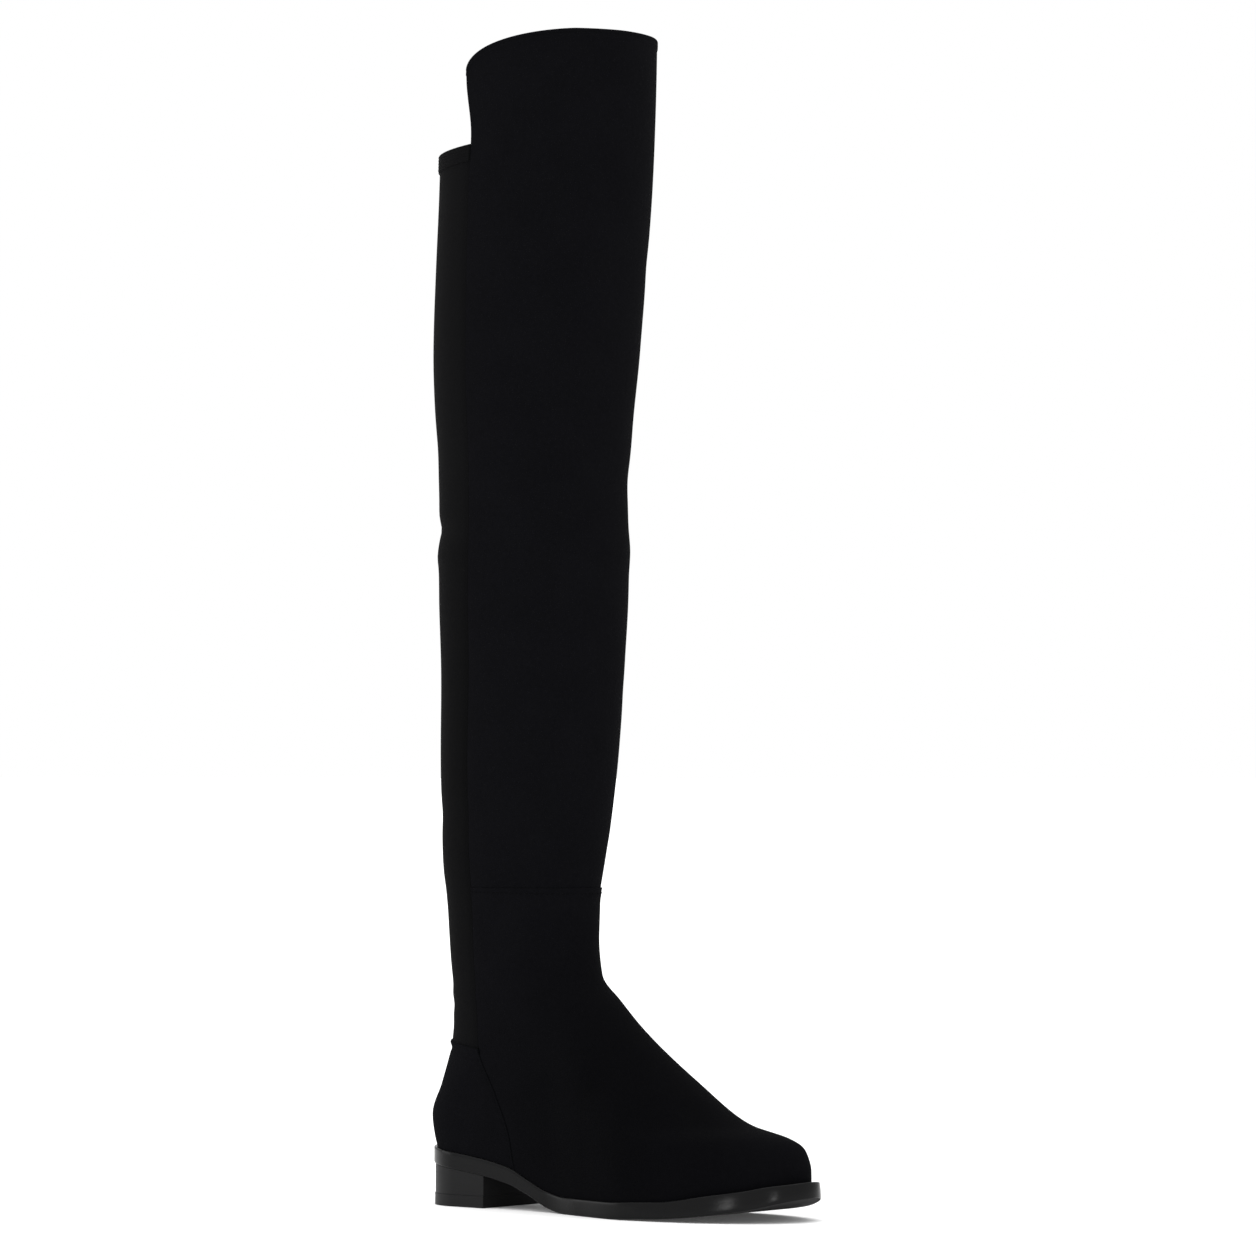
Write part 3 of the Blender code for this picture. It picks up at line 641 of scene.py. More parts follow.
def shell(name, outer, inner, closed=False):
    """A closed wall between two grids. A closed one runs right round in its columns."""
    rows, columns = outer.shape[:2]
    points = np.concatenate([outer.reshape(-1, 3), inner.reshape(-1, 3)])
    second = rows * columns
    faces = []
    last = columns if closed else columns - 1
    for row in range(rows - 1):
        for column in range(last):
            after = (column + 1) % columns
            a, b = row * columns + column, row * columns + after
            c, d = a + columns, b + columns
            faces.append((a, b, d, c))
            faces.append((second + c, second + d, second + b, second + a))
    for column in range(last):
        after = (column + 1) % columns
        top = (rows - 1) * columns
        faces.append((after, column, second + column, second + after))
        faces.append((top + column, top + after, second + top + after, second + top + column))
    if not closed:
        for row in range(rows - 1):
            low, high = row * columns, (row + 1) * columns
            faces.append((low, high, second + high, second + low))
            end_low, end_high = low + columns - 1, high + columns - 1
            faces.append((end_high, end_low, second + end_low, second + end_high))
    across = lengths(outer, 1)
    up = lengths(outer, 0)
    grid = np.stack([across - across[:, columns // 2 : columns // 2 + 1], up], axis=-1).reshape(-1, 2)
    return add_piece(name, points, faces, np.concatenate([grid, grid]))


def panel(name, levels, turns, proud, thickness, rolls):
    """A panel with turned edges. rolls gives the radius at its bottom, at its top and at its sides."""
    flat = boot_surface(levels, turns)
    across, up = lengths(flat, 1), lengths(flat, 0)
    drop = roll(up, rolls[0]) + roll(up[-1:] - up, rolls[1])
    drop = np.maximum(drop, roll(across, rolls[2]))
    drop = np.maximum(drop, roll(across[:, -1:] - across, rolls[2]))
    outer = laid(levels, turns, drop - proud)
    inner = laid(levels, turns, np.maximum(thickness, drop - proud + LEAST_WALL))
    return shell(name, outer, inner)


print("closest step at an edge in mm", ROLL_STEPS[1] / MM)

# %% [markdown]
# ## Finishes
# Black suede is a pile of short fibres. It hardly reflects, is a little lighter where the pile leans
# towards the light, and shows a faint mottle where hands have brushed it. The foot behind the toe
# lies in deeper shade, so painted shade darkens the nap's colour there: its foot shade, which fades
# with the distance. The nap is a node group, so that the suede, the thread and the insole can share
# it with their own values.

# %% Node helpers
COLOUR = "NodeSocketColor"
NUMBER = "NodeSocketFloat"
DIRECTION = "NodeSocketVector"
BLACK = (0.005, 0.005, 0.006, 1)


def new_tree(name, kind, inputs, outputs):
    """A node tree, the sockets that give its inputs and those that take its outputs."""
    tree = bpy.data.node_groups.new(name, kind)
    for label, socket_kind, *value in inputs:
        socket = tree.interface.new_socket(name=label, in_out="INPUT", socket_type=socket_kind)
        if value:
            socket.default_value = value[0]
    for label, socket_kind in outputs:
        tree.interface.new_socket(name=label, in_out="OUTPUT", socket_type=socket_kind)
    return tree, tree.nodes.new("NodeGroupInput").outputs, tree.nodes.new("NodeGroupOutput").inputs


def new_finish(name, inputs, outputs):
    """A node group that gives a colour and a normal, and more outputs where they are named."""
    both = [("Colour", COLOUR), ("Normal", DIRECTION)]
    return new_tree(name, "ShaderNodeTree", [("Colour", COLOUR, BLACK)] + inputs, both + outputs)


def add_node(tree, kind, settings=None, values=None):
    """A node with its settings. Each named input gets a constant or is fed by another node's output."""
    node = tree.nodes.new(kind)
    for label, value in (settings or {}).items():
        setattr(node, label, value)
    for label, value in (values or {}).items():
        if isinstance(value, bpy.types.NodeSocket):
            tree.links.new(value, node.inputs[label])
        else:
            node.inputs[label].default_value = value
    return node


def maths(tree, operation, first, second):
    """The result of a sum on two numbers."""
    return add_node(tree, "ShaderNodeMath", {"operation": operation}, {0: first, 1: second}).outputs[0]


def noise(tree, place, scale, detail, roughness=0.5):
    """The value of a noise at a place."""
    values = {"Vector": place, "Scale": scale, "Detail": detail, "Roughness": roughness}
    return add_node(tree, "ShaderNodeTexNoise", values=values).outputs["Fac"]


def off_middle(tree, pattern, middle, amount):
    """An amount of how far a pattern lies above or below its middle."""
    return maths(tree, "MULTIPLY", maths(tree, "SUBTRACT", pattern, middle), amount)


def shaded(tree, colour, shade, tone=1.0):
    """A colour made lighter by a shade, and all of it darker by a tone, which is painted shade where it is
    given.
    """
    factor = maths(tree, "MULTIPLY", maths(tree, "ADD", shade, 1.0), tone)
    values = {0: colour, "Scale": factor}
    return add_node(tree, "ShaderNodeVectorMath", {"operation": "SCALE"}, values).outputs[0]


def shade_near(tree, middle, near, far, tone):
    """A painted shade factor: the tone near a point of the boot, and 1 far from it."""
    place = add_node(tree, "ShaderNodeTexCoord").outputs["Object"]
    away = add_node(tree, "ShaderNodeVectorMath", {"operation": "DISTANCE"}, {0: place, 1: middle})
    values = {"Value": away.outputs["Value"], "From Min": near, "From Max": far, "To Min": tone}
    values["To Max"] = 1.0
    return add_node(tree, "ShaderNodeMapRange", values=values).outputs["Result"]


def bump(tree, height, depth):
    """The normal of a surface that a pattern raises by a depth."""
    values = {"Strength": 1.0, "Height": height, "Distance": depth}
    return add_node(tree, "ShaderNodeBump", values=values).outputs["Normal"]


# %% The nap of suede
# Centre of the painted shade on the foot, where the nap's colour is darkest, in metres
FOOT_SHADE_MIDDLE = (0.138, 0.0, 0.060)
nap_inputs = [
    ("Fibre scale", NUMBER, 1500.0),
    ("Mottle", NUMBER, 0.25),
    ("Depth", NUMBER, 0.0002),
    ("Foot tone", NUMBER, 1.0),
]
nap, given, made = new_finish("nap", nap_inputs, [])
place = add_node(nap, "ShaderNodeTexCoord").outputs["Object"]
fibre = noise(nap, place, given["Fibre scale"], detail=3.0, roughness=0.6)
brushed = noise(nap, place, scale=38.0, detail=4.0, roughness=0.55)
flecks = noise(nap, place, scale=420.0, detail=2.0)
mottle = off_middle(nap, maths(nap, "ADD", brushed, flecks), middle=1.0, amount=given["Mottle"])
# Painted shade: the colour is darkened near the foot, less with the distance
foot_shade = shade_near(nap, FOOT_SHADE_MIDDLE, near=0.045, far=0.13, tone=given["Foot tone"])
nap.links.new(shaded(nap, given["Colour"], mottle, foot_shade), made["Colour"])
nap.links.new(bump(nap, fibre, given["Depth"]), made["Normal"])
print("nodes in the nap", len(nap.nodes))

# %% [markdown]
# The back panel is stretch cloth with a suede hand. Up close it is a fine knit: columns of small
# loops. Its pattern follows the panel's own UV map in metres, so the loops run up the leg. Below the
# calf it lies in deeper shade, and painted shade, its leg shade, darkens its colour there.

# %% The knit of stretch cloth
# Centre of the painted shade below the calf, in metres
LEG_SHADE_MIDDLE = (0.0, 0.0, 0.270)
knit_inputs = [
    ("Loop scale", NUMBER, 900.0),
    ("Contrast", NUMBER, 0.2),
    ("Depth", NUMBER, 0.0001),
    ("Leg tone", NUMBER, 1.0),
]
knit, given, made = new_finish("knit", knit_inputs, [])
metres = add_node(knit, "ShaderNodeUVMap", {"uv_map": "metres"}).outputs["UV"]
waves = []
for direction in ("X", "DIAGONAL"):
    wave_values = {"Vector": metres, "Scale": given["Loop scale"], "Distortion": 0.6, "Detail": 1.0}
    wave = add_node(knit, "ShaderNodeTexWave", {"bands_direction": direction}, wave_values)
    waves.append(wave.outputs["Fac"])
loops = maths(knit, "MULTIPLY", *waves)
rub = noise(knit, metres, scale=30.0, detail=3.0)
shade = off_middle(knit, maths(knit, "ADD", loops, rub), middle=0.75, amount=given["Contrast"])
# Painted shade: the colour is darkened below the calf, less with the distance
leg_shade = shade_near(knit, LEG_SHADE_MIDDLE, near=0.06, far=0.17, tone=given["Leg tone"])
knit.links.new(shaded(knit, given["Colour"], shade, leg_shade), made["Colour"])
knit.links.new(bump(knit, loops, given["Depth"]), made["Normal"])
print("nodes in the knit", len(knit.nodes))

# %% [markdown]
# The sole's edge and the heel are painted and burnished. The gloss is even but for faint streaks of
# the burnishing wheel and a little handling dust, which change the roughness more than the colour.

# %% The burnish of painted edges
burnish_inputs = [
    ("Roughness", NUMBER, 0.4),
    ("Streaks", NUMBER, 0.12),
    ("Depth", NUMBER, 0.00003),
]
burnish, given, made = new_finish("burnish", burnish_inputs, [("Roughness", NUMBER)])
place = add_node(burnish, "ShaderNodeTexCoord").outputs["Object"]
streak_place = add_node(burnish, "ShaderNodeMapping", values={"Vector": place, "Scale": (1.0, 1.0, 9.0)})
streak = noise(burnish, streak_place.outputs["Vector"], scale=90.0, detail=4.0)
streaks = off_middle(burnish, streak, middle=0.5, amount=given["Streaks"])
pores = noise(burnish, place, scale=1400.0, detail=2.0)
burnish.links.new(shaded(burnish, given["Colour"], streaks), made["Colour"])
burnish.links.new(maths(burnish, "ADD", given["Roughness"], streaks), made["Roughness"])
burnish.links.new(bump(burnish, pores, given["Depth"]), made["Normal"])
print("nodes in the burnish", len(burnish.nodes))

# %% Materials


def finish_with(name, group, group_values, shader_values):
    """A material: a Principled shader whose colour and normal come from a shared group."""
    material = bpy.data.materials.new(name)
    material.use_nodes = True
    tree = material.node_tree
    shader = tree.nodes["Principled BSDF"]
    detail = add_node(tree, "ShaderNodeGroup", {"node_tree": group}, group_values)
    tree.links.new(detail.outputs["Colour"], shader.inputs["Base Color"])
    tree.links.new(detail.outputs["Normal"], shader.inputs["Normal"])
    if "Roughness" in detail.outputs:
        tree.links.new(detail.outputs["Roughness"], shader.inputs["Roughness"])
    for label, value in shader_values.items():
        shader.inputs[label].default_value = value
    return material


# The suede's foot shade is painted shade: its colour is darker near the foot
suede = finish_with(
    "black_suede",
    nap,
    {"Colour": (0.0032, 0.0032, 0.0039, 1), "Mottle": 0.35, "Foot tone": 0.56},
    {"Roughness": 1.0, "Specular IOR Level": 0.01, "Sheen Weight": 0.0025, "Sheen Roughness": 0.6},
)
# The stretch cloth's leg shade is painted shade: its colour is darker below the calf
stretch = finish_with(
    "stretch_cloth",
    knit,
    {
        "Colour": (0.0029, 0.0029, 0.0032, 1),
        "Loop scale": 380.0,
        "Contrast": 0.10,
        "Depth": 0.00006,
        "Leg tone": 0.74,
    },
    {"Roughness": 0.9, "Specular IOR Level": 0.02, "Sheen Weight": 0.003, "Sheen Roughness": 0.45},
)
elastic = finish_with(
    "band_elastic",
    knit,
    {"Colour": (0.0031, 0.0031, 0.0034, 1), "Loop scale": 240.0, "Contrast": 0.15, "Depth": 0.0001},
    {"Roughness": 0.9, "Specular IOR Level": 0.02, "Sheen Weight": 0.003, "Sheen Roughness": 0.4},
)
sole_edge = finish_with(
    "sole_edge_paint",
    burnish,
    {"Colour": (0.0066, 0.0066, 0.0068, 1), "Roughness": 0.16, "Streaks": 0.06},
    {"Specular IOR Level": 0.062},
)
heel_paint = finish_with(
    "heel_paint",
    burnish,
    {"Colour": (0.0118, 0.0118, 0.0121, 1), "Roughness": 0.42, "Streaks": 0.12},
    {"Specular IOR Level": 0.046},
)
# A duller, darker copy of the heel paint for the breast; its darker colour is painted shade where it faces
# the arch
breast_paint = finish_with(
    "heel_breast_paint",
    burnish,
    {"Colour": (0.0075, 0.0075, 0.0077, 1), "Roughness": 0.6, "Streaks": 0.12},
    {"Specular IOR Level": 0.03},
)
tread_rubber = finish_with(
    "tread_rubber",
    burnish,
    {"Colour": (0.026, 0.026, 0.0264, 1), "Roughness": 0.8, "Streaks": 0.15, "Depth": 0.00008},
    {"Specular IOR Level": 0.04},
)
lining = finish_with(
    "jersey_lining",
    knit,
    {"Colour": (0.012, 0.012, 0.012, 1), "Loop scale": 190.0, "Contrast": 0.3, "Depth": 0.00012},
    {"Roughness": 0.9, "Specular IOR Level": 0.05, "Sheen Weight": 0.01, "Sheen Roughness": 0.5},
)
sock = finish_with(
    "insole_sock",
    nap,
    {"Colour": (0.016, 0.016, 0.016, 1), "Fibre scale": 900.0, "Mottle": 0.4, "Depth": 0.0002},
    {"Roughness": 0.85, "Specular IOR Level": 0.1},
)
# The thread's foot shade is painted shade too: its colour is darker near the foot
thread = finish_with(
    "black_thread",
    nap,
    {"Colour": (0.0030, 0.0030, 0.0035, 1), "Fibre scale": 2600.0, "Depth": 0.0001, "Foot tone": 0.6},
    {"Roughness": 0.9, "Specular IOR Level": 0.02},
)
print("finishes", sorted(finish.name for finish in bpy.data.materials))


def dress(piece, finish, slot_name, *stands_for):
    """Gives a piece its finish and its body, and hides the CAD nodes that it stands for. Its slot name is
    not used.
    """
    if finish is not None:
        piece.data.materials.clear()
        piece.data.materials.append(finish)
    if stands_for:
        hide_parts(*stands_for)
    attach(piece, "root")
    print(piece.name, len(piece.data.polygons), "faces")


# %% [markdown]
# ## The foot
# The vamp and quarters are one piece of suede from the sole's edge to the ankle seam. Its top edge is
# turned under and laps over the shaft. It stands nearly a millimetre proud there, and has a row of
# stitches just under the fold.

# %% Foot of suede
OUTER_LAYER = 0.0011
LAP = 0.0008
LAP_HEIGHT = 0.009
EDGE_STITCH = 0.0022
SEAM_ROLL = 0.0005
SEAM_GAP = 0.00006
DENT_DEPTH = 0.00015
DENT_WIDTH = 0.0006
CLOSE_STEPS = (-0.0006, -0.0002, 0.0002, 0.0006)


def close_rows(length, count, near_end=(), near_start=()):
    """Shares from 0 to 1, even but for close rows at both ends and beside the named distances."""
    shares = list(steps_across(length, count))
    for step in CLOSE_STEPS:
        shares += [1 - (distance + step) / length for distance in near_end]
        shares += [(distance + step) / length for distance in near_start]
    return np.unique(np.round(np.clip(shares, 0, 1), 6))


def front_turns(levels, shares, clearance):
    """Turns across a front panel at each level, for shares from 0 on the outer seam to 1 on the inner."""
    seam = moved(levels, seam_turn(levels), -clearance)
    return (2 * shares - 1) * seam


def back_turns(levels, shares, clearance):
    """Turns across a back panel, from the inner seam round the back to the outer one."""
    seam = moved(levels, seam_turn(levels), clearance)
    return seam + shares * 2 * (HALF_TURN - seam)


def from_start(levels, turns, axis):
    """Distance of each grid point from the grid's first row or column."""
    return lengths(boot_surface(levels, turns), axis)


def from_end(levels, turns, axis):
    """Distance of each grid point from the grid's last row or column."""
    travelled = from_start(levels, turns, axis)
    return np.take(travelled, [-1], axis=axis) - travelled


def stitch_dent(distance):
    """The shallow channel that a row of stitches pulls in the leather."""
    return DENT_DEPTH * np.exp(-((distance - EDGE_STITCH) ** 2) / DENT_WIDTH**2)


rows = close_rows(length=0.150, count=96, near_end=(EDGE_STITCH, LAP_HEIGHT))
columns = steps_across(length=0.30, count=150)
levels = np.broadcast_to(rows[:, None], (len(rows), len(columns)))
turns = front_turns(levels, columns, SEAM_GAP)
under_fold = from_end(levels, turns, 0)
proud = LAP * ease(1 - under_fold / LAP_HEIGHT) - stitch_dent(under_fold)
foot = panel("foot_suede", levels, turns, proud, OUTER_LAYER, (0.0, SEAM_ROLL, SEAM_ROLL))
dress(foot, suede, "suede", "upper")

# %% [markdown]
# ## The heel counter
# A stiff suede piece cups the heel. Its edges are turned, it stands a little proud of the foot, and its
# top edge is rolled over the end of the stretch panel, which shows as a small ridge down the back.

# %% Heel counter
COUNTER_STEP = 0.0003
COUNTER_FADE = 0.006
COUNTER_ROLL = 0.0003
RIDGE = 0.0010
RIDGE_AT = 0.0014
RIDGE_WIDTH = 0.0018
RIDGE_ROWS = (0.0015, RIDGE_AT, 0.005)
RIDGE_STITCH = EDGE_STITCH + 0.0045

rows = close_rows(length=0.063, count=44, near_end=(RIDGE_STITCH,) + RIDGE_ROWS)
columns = close_rows(length=0.16, count=100, near_end=(EDGE_STITCH,), near_start=(EDGE_STITCH,))
levels = np.broadcast_to(rows[:, None] * COUNTER_LEVEL, (len(rows), len(columns)))
turns = back_turns(levels, columns, SEAM_GAP)
ridge = RIDGE * np.exp(-(((from_end(levels, turns, 0) - RIDGE_AT) / RIDGE_WIDTH) ** 2))
proud = COUNTER_STEP * ease(from_start(levels, turns, 0) / COUNTER_FADE) + ridge
proud = proud - stitch_dent(from_end(levels, turns, 1)) - stitch_dent(from_start(levels, turns, 1))
counter = panel("heel_counter_suede", levels, turns, proud, OUTER_LAYER, (0.0, SEAM_ROLL, COUNTER_ROLL))
dress(counter, suede, "suede", "heel_counter")

# %% [markdown]
# ## The front of the shaft
# One long panel of suede covers the shin, the knee and the front of the thigh. Its top edge runs level
# in front and rounds off to the sides, and it is folded over to the inside in a narrow stitched hem.

# %% Front panel
HEM_HEIGHT = 0.0045
HEM_STEP = 0.0004
HEM_FOLD = 0.010
HEM_EDGE = 0.0008
HEM_ROLL = 0.0007
FOLD_THICKNESS = 0.0007
FRONT_UNDERLAP = 0.0008
TOP_TILT = 0.0010
TOP_LIFT = 0.0002
INNER_DROP = 0.0012
INNER_DROP_FROM = -0.35


def top_of_front(across):
    """Level of the front panel's upper edge, for across from -1 to 1."""
    out = np.clip((np.abs(across) - CORNER_START) / (1 - CORNER_START), 0, 1)
    fall = 1 - (1 - out**CORNER_POWER) ** (1 / CORNER_POWER)
    inner = TOP_TILT * across + INNER_DROP * np.maximum(across - INNER_DROP_FROM, 0)
    return level_of(BOOT_HEIGHT + TOP_LIFT - TOP_CORNER_DROP * fall - inner)


def spread(across):
    """Even shares of the panel drawn a little towards its sides, where the top edge falls fast."""
    return across / 2 + np.sin(across * HALF_TURN / 2) / 2


rows = close_rows(length=0.488, count=190, near_end=(EDGE_STITCH, HEM_HEIGHT, HEM_FOLD))
columns = (spread(2 * steps_across(length=0.21, count=130) - 1) + 1) / 2
start = level_of(ANKLE_SEAM_HEIGHT - FRONT_UNDERLAP)
levels = start + rows[:, None] * (top_of_front(2 * columns - 1) - start)
turns = front_turns(levels, columns, SEAM_GAP)
below_top = from_end(levels, turns, 0)
proud = HEM_STEP * ease((HEM_HEIGHT + HEM_EDGE / 2 - below_top) / HEM_EDGE) - stitch_dent(below_top)
folded = ease((HEM_FOLD + HEM_EDGE / 2 - below_top) / HEM_EDGE)
thickness = OUTER_LAYER + FOLD_THICKNESS * folded
front = panel("shaft_front_suede", levels, turns, proud, thickness, (0.0, HEM_ROLL, SEAM_ROLL))
dress(front, suede, "suede", "shaft_front")

# %% [markdown]
# ## The back of the shaft
# The stretch panel runs from under the counter's edge to the back of the thigh. It is drawn in a
# little beside the side seams, where the suede holds it, and ends in a ribbed elastic band.

# %% Back panel
BAND_OVERLAP = 0.001
BACK_UNDERLAP = 0.0012
BACK_ROLL = 0.0006
SEAM_PULL = 0.0004
SEAM_PULL_WIDTH = 0.004


def top_of_back(across):
    """Level of the back panel's upper edge, for across from -1 to 1."""
    return BACK_TOP_LEVEL - BACK_DIP / SHAFT_RISE * (1 - across**2)


rows = close_rows(length=0.51, count=210)
columns = steps_across(length=0.17, count=96)
back_top = top_of_back(2 * columns - 1)
start = COUNTER_LEVEL - BACK_UNDERLAP / FOOT_RISE
levels = start + rows[:, None] * (back_top - BAND_OVERLAP / SHAFT_RISE - start)
turns = back_turns(levels, columns, SEAM_GAP)
nearest = np.minimum(from_start(levels, turns, 1), from_end(levels, turns, 1))
proud = -SEAM_PULL * (1 - ease(nearest / SEAM_PULL_WIDTH))
back = panel("shaft_back_stretch", levels, turns, proud, OUTER_LAYER, (0.0, BACK_ROLL, SEAM_ROLL))
dress(back, stretch, "stretch", "shaft_back")

# %% Elastic band
BAND_HEIGHT = 0.009
BAND_RISE = 0.0006
BAND_STEP = 0.0009
BAND_THICKNESS = 0.0017
BAND_ROLLS = (0.0008, 0.0007, 0.0006)
RIB_PITCH = 0.0018
RIB_DEPTH = 0.00012

rows = close_rows(length=BAND_HEIGHT, count=30)
band_low = back_top - BAND_HEIGHT / SHAFT_RISE
band_high = back_top + BAND_RISE / SHAFT_RISE
levels = band_low + rows[:, None] * (band_high - band_low)
turns = back_turns(levels, columns, SEAM_GAP)
proud = BAND_STEP + RIB_DEPTH * np.cos(2 * HALF_TURN * from_start(levels, turns, 0) / RIB_PITCH)
band = panel("top_band_elastic", levels, turns, proud, BAND_THICKNESS, BAND_ROLLS)
dress(band, elastic, "stretch")

# %% [markdown]
# ## Linings
# Inside, a thin jersey lining covers the wall from the insole up to the hem and the band. It shows
# from above, so it is a wall of its own and not the back of the suede.

# %% Linings
LINING_OUT = 0.0013
LINING_IN = 0.0018
FOOT_WALL = 0.0024
LINING_START = 0.004
LINING_OVERLAP = 0.0015
UNDER_HEM = 0.001
BEHIND_FRONT = 0.0001
FOOT_COLUMNS = 180
SHAFT_ROWS = 110
FRONT_COLUMNS = 110
BACK_COLUMNS = 90


def add_lining(name, levels, turns, outside, inside, closed=False):
    """A thin wall of lining between two depths under the boot's surface."""
    wall = shell(name, laid(levels, turns, outside), laid(levels, turns, inside), closed)
    dress(wall, lining, "lining")


rows = steps_across(length=0.15, count=60, end_fine=False)[:, None]
turns = np.linspace(-HALF_TURN, HALF_TURN, FOOT_COLUMNS, endpoint=False)
levels = np.broadcast_to(rows * (1 - LINING_START) + LINING_START, (len(rows), FOOT_COLUMNS))
foot_inside = FOOT_WALL + (LINING_IN - FOOT_WALL) * ramp(levels, start=0.6, over=0.4)
add_lining("foot_lining", levels, turns, LINING_OUT, foot_inside, closed=True)

rows = np.linspace(0, 1, SHAFT_ROWS)[:, None]
across = spread(2 * np.linspace(0, 1, FRONT_COLUMNS) - 1)
levels = 1 + rows * (top_of_front(across) - (HEM_FOLD - UNDER_HEM) / SHAFT_RISE - 1)
turns = front_turns(levels, (across + 1) / 2, -LINING_OVERLAP)
add_lining("front_lining", levels, turns, LINING_OUT, LINING_IN)

shares = np.linspace(0, 1, BACK_COLUMNS)
levels = 1 + rows * (top_of_back(2 * shares - 1) - (BAND_HEIGHT - UNDER_HEM) / SHAFT_RISE - 1)
turns = back_turns(levels, shares, 0.0)
add_lining("back_lining", levels, turns, LINING_OUT + BEHIND_FRONT, LINING_IN - BEHIND_FRONT)

# %% [markdown]
# ## Sole
# The sole is a stack of rings: across its underside, round the lower edge, up the painted side, round
# the top edge and in under the upper. From the ball to the toe the side leans in a little, as a
# trimmed edge does. Under the forefoot the middle is sunk by 0.6 mm, and tread bars fill it down to
# the floor.

# %% Sole


def ring_stack(name, rings, offset=0):
    """A solid from closed outlines. Strips from side to side close its ends, paired from an offset."""
    count = len(rings[0])
    points = np.concatenate(rings)
    faces = []
    for layer in range(len(rings) - 1):
        low, high = layer * count, (layer + 1) * count
        for column in range(count):
            after = (column + 1) % count
            faces.append((low + column, low + after, high + after, high + column))
    for layer in (0, len(rings) - 1):
        first = layer * count
        for step in range(count // 2):
            ring = [first + step, first + step + 1]
            ring += [first + count - step - 1 - offset, first + (count - step - offset) % count]
            faces.append(tuple(dict.fromkeys(ring)))
    return add_piece(name, points, faces)


def paint_towards(piece, direction, least, finish):
    """Gives a second finish to the faces that look in a direction."""
    piece.data.materials.append(finish)
    for face in piece.data.polygons:
        if face.normal.dot(Vector(direction)) > least:
            face.material_index = 1


SOLE_TURNS = np.linspace(-HALF_TURN, HALF_TURN, 360, endpoint=False)
PAINT = 0.0003
BACK_FLARE = 0.0009
TOE_FLARE = 0.0004
SIDE_LEAN = 0.00055
WAIST_LIFT = 0.0012
WAIST_AT = 0.335
WAIST_WIDTH = 0.045
TREAD_DEPTH = 0.0006
TREAD_INSET = 0.0050
TREAD_WALL = 0.0004
TREAD_RING = 0.0003
TREAD_START = 0.43
TREAD_END = 0.78
EDGE_RADIUS = 0.0009
UNDER_UPPER = 0.0075
SEAT_GAP = 0.00005
CORNER = [math.radians(angle) for angle in (0, 22.5, 45, 67.5, 90)]
sole_line = sole_outline(SOLE_TURNS)


def sole_ring(inset, up, from_top=False, sunk=0.0, lean=0.0):
    """A closed ring of the sole. It flares at both ends, and is bevelled thinner at the waist."""
    line_along = share_along(sole_line[:, 0])
    flare = BACK_FLARE * (1 - ramp(line_along, start=0.0, over=0.06))
    flare = flare + TOE_FLARE * ramp(line_along, start=0.90, over=0.10)
    lean_in = lean * SIDE_LEAN * ramp(line_along, start=0.62, over=0.12)
    edge = drawn_in(sole_line, inset + lean_in - PAINT - flare)
    along = share_along(edge[:, 0])
    base = seat_top(edge[:, 0]) if from_top else underside(edge[:, 0])
    waist = WAIST_LIFT * np.exp(-(((along - WAIST_AT) / WAIST_WIDTH) ** 2))
    z = base + up + (0.0 if from_top else waist * (1 - up / SOLE_THICKNESS))
    z = z + sunk * ramp(along, TREAD_START, over=0.03) * (1 - ramp(along, TREAD_END, over=0.04))
    return np.column_stack([edge, z])


sole_rings = [sole_ring(TREAD_INSET + step, 0.0, sunk=TREAD_DEPTH) for step in (TREAD_RING, 0.0)]
sole_rings.append(sole_ring(TREAD_INSET - TREAD_WALL, 0.0))
for angle in CORNER:
    inset = EDGE_RADIUS * (1 - math.sin(angle))
    sole_rings.append(sole_ring(inset, EDGE_RADIUS * (1 - math.cos(angle))))
for share in (0.2, 0.4, 0.6, 0.8):
    up = EDGE_RADIUS + share * (SOLE_THICKNESS - 2 * EDGE_RADIUS)
    sole_rings.append(sole_ring(0.0, up, lean=share**2))
for angle in CORNER:
    inset = EDGE_RADIUS * (1 - math.cos(angle))
    up = -EDGE_RADIUS * (1 - math.sin(angle)) - SEAT_GAP
    sole_rings.append(sole_ring(inset, up, from_top=True, lean=1.0))
sole_rings.append(sole_ring(UNDER_UPPER, -SEAT_GAP, from_top=True))
sole = ring_stack("sole", sole_rings)
dress(sole, sole_edge, "sole_rubber", "outsole")
paint_towards(sole, (0, 0, -1), least=0.7, finish=tread_rubber)

# %% [markdown]
# The tread is a row of plain bars across the forefoot. One bar is a box, so Geometry Nodes place a
# copy on each point of a small guide mesh, which carries every bar's size and slope as attributes.

# %% Tread tree
SHAPE = ("Geometry", "NodeSocketGeometry")
FINISH = ("Finish", "NodeSocketMaterial")


def attribute(tree, name):
    """The vector attribute of a guide mesh."""
    settings = {"data_type": "FLOAT_VECTOR"}
    return add_node(tree, "GeometryNodeInputNamedAttribute", settings, {"Name": name}).outputs["Attribute"]


def place_copies(tree, points, shape, size, turn, finish, made):
    """The end of a tree: a copy of a shape on each point, made real and given its finish."""
    values = {"Points": points, "Instance": shape, "Scale": size, "Rotation": turn}
    copies = add_node(tree, "GeometryNodeInstanceOnPoints", values=values).outputs["Instances"]
    real = add_node(tree, "GeometryNodeRealizeInstances", values={"Geometry": copies}).outputs[0]
    painted = add_node(tree, "GeometryNodeSetMaterial", values={"Geometry": real, "Material": finish})
    tree.links.new(painted.outputs["Geometry"], made["Geometry"])


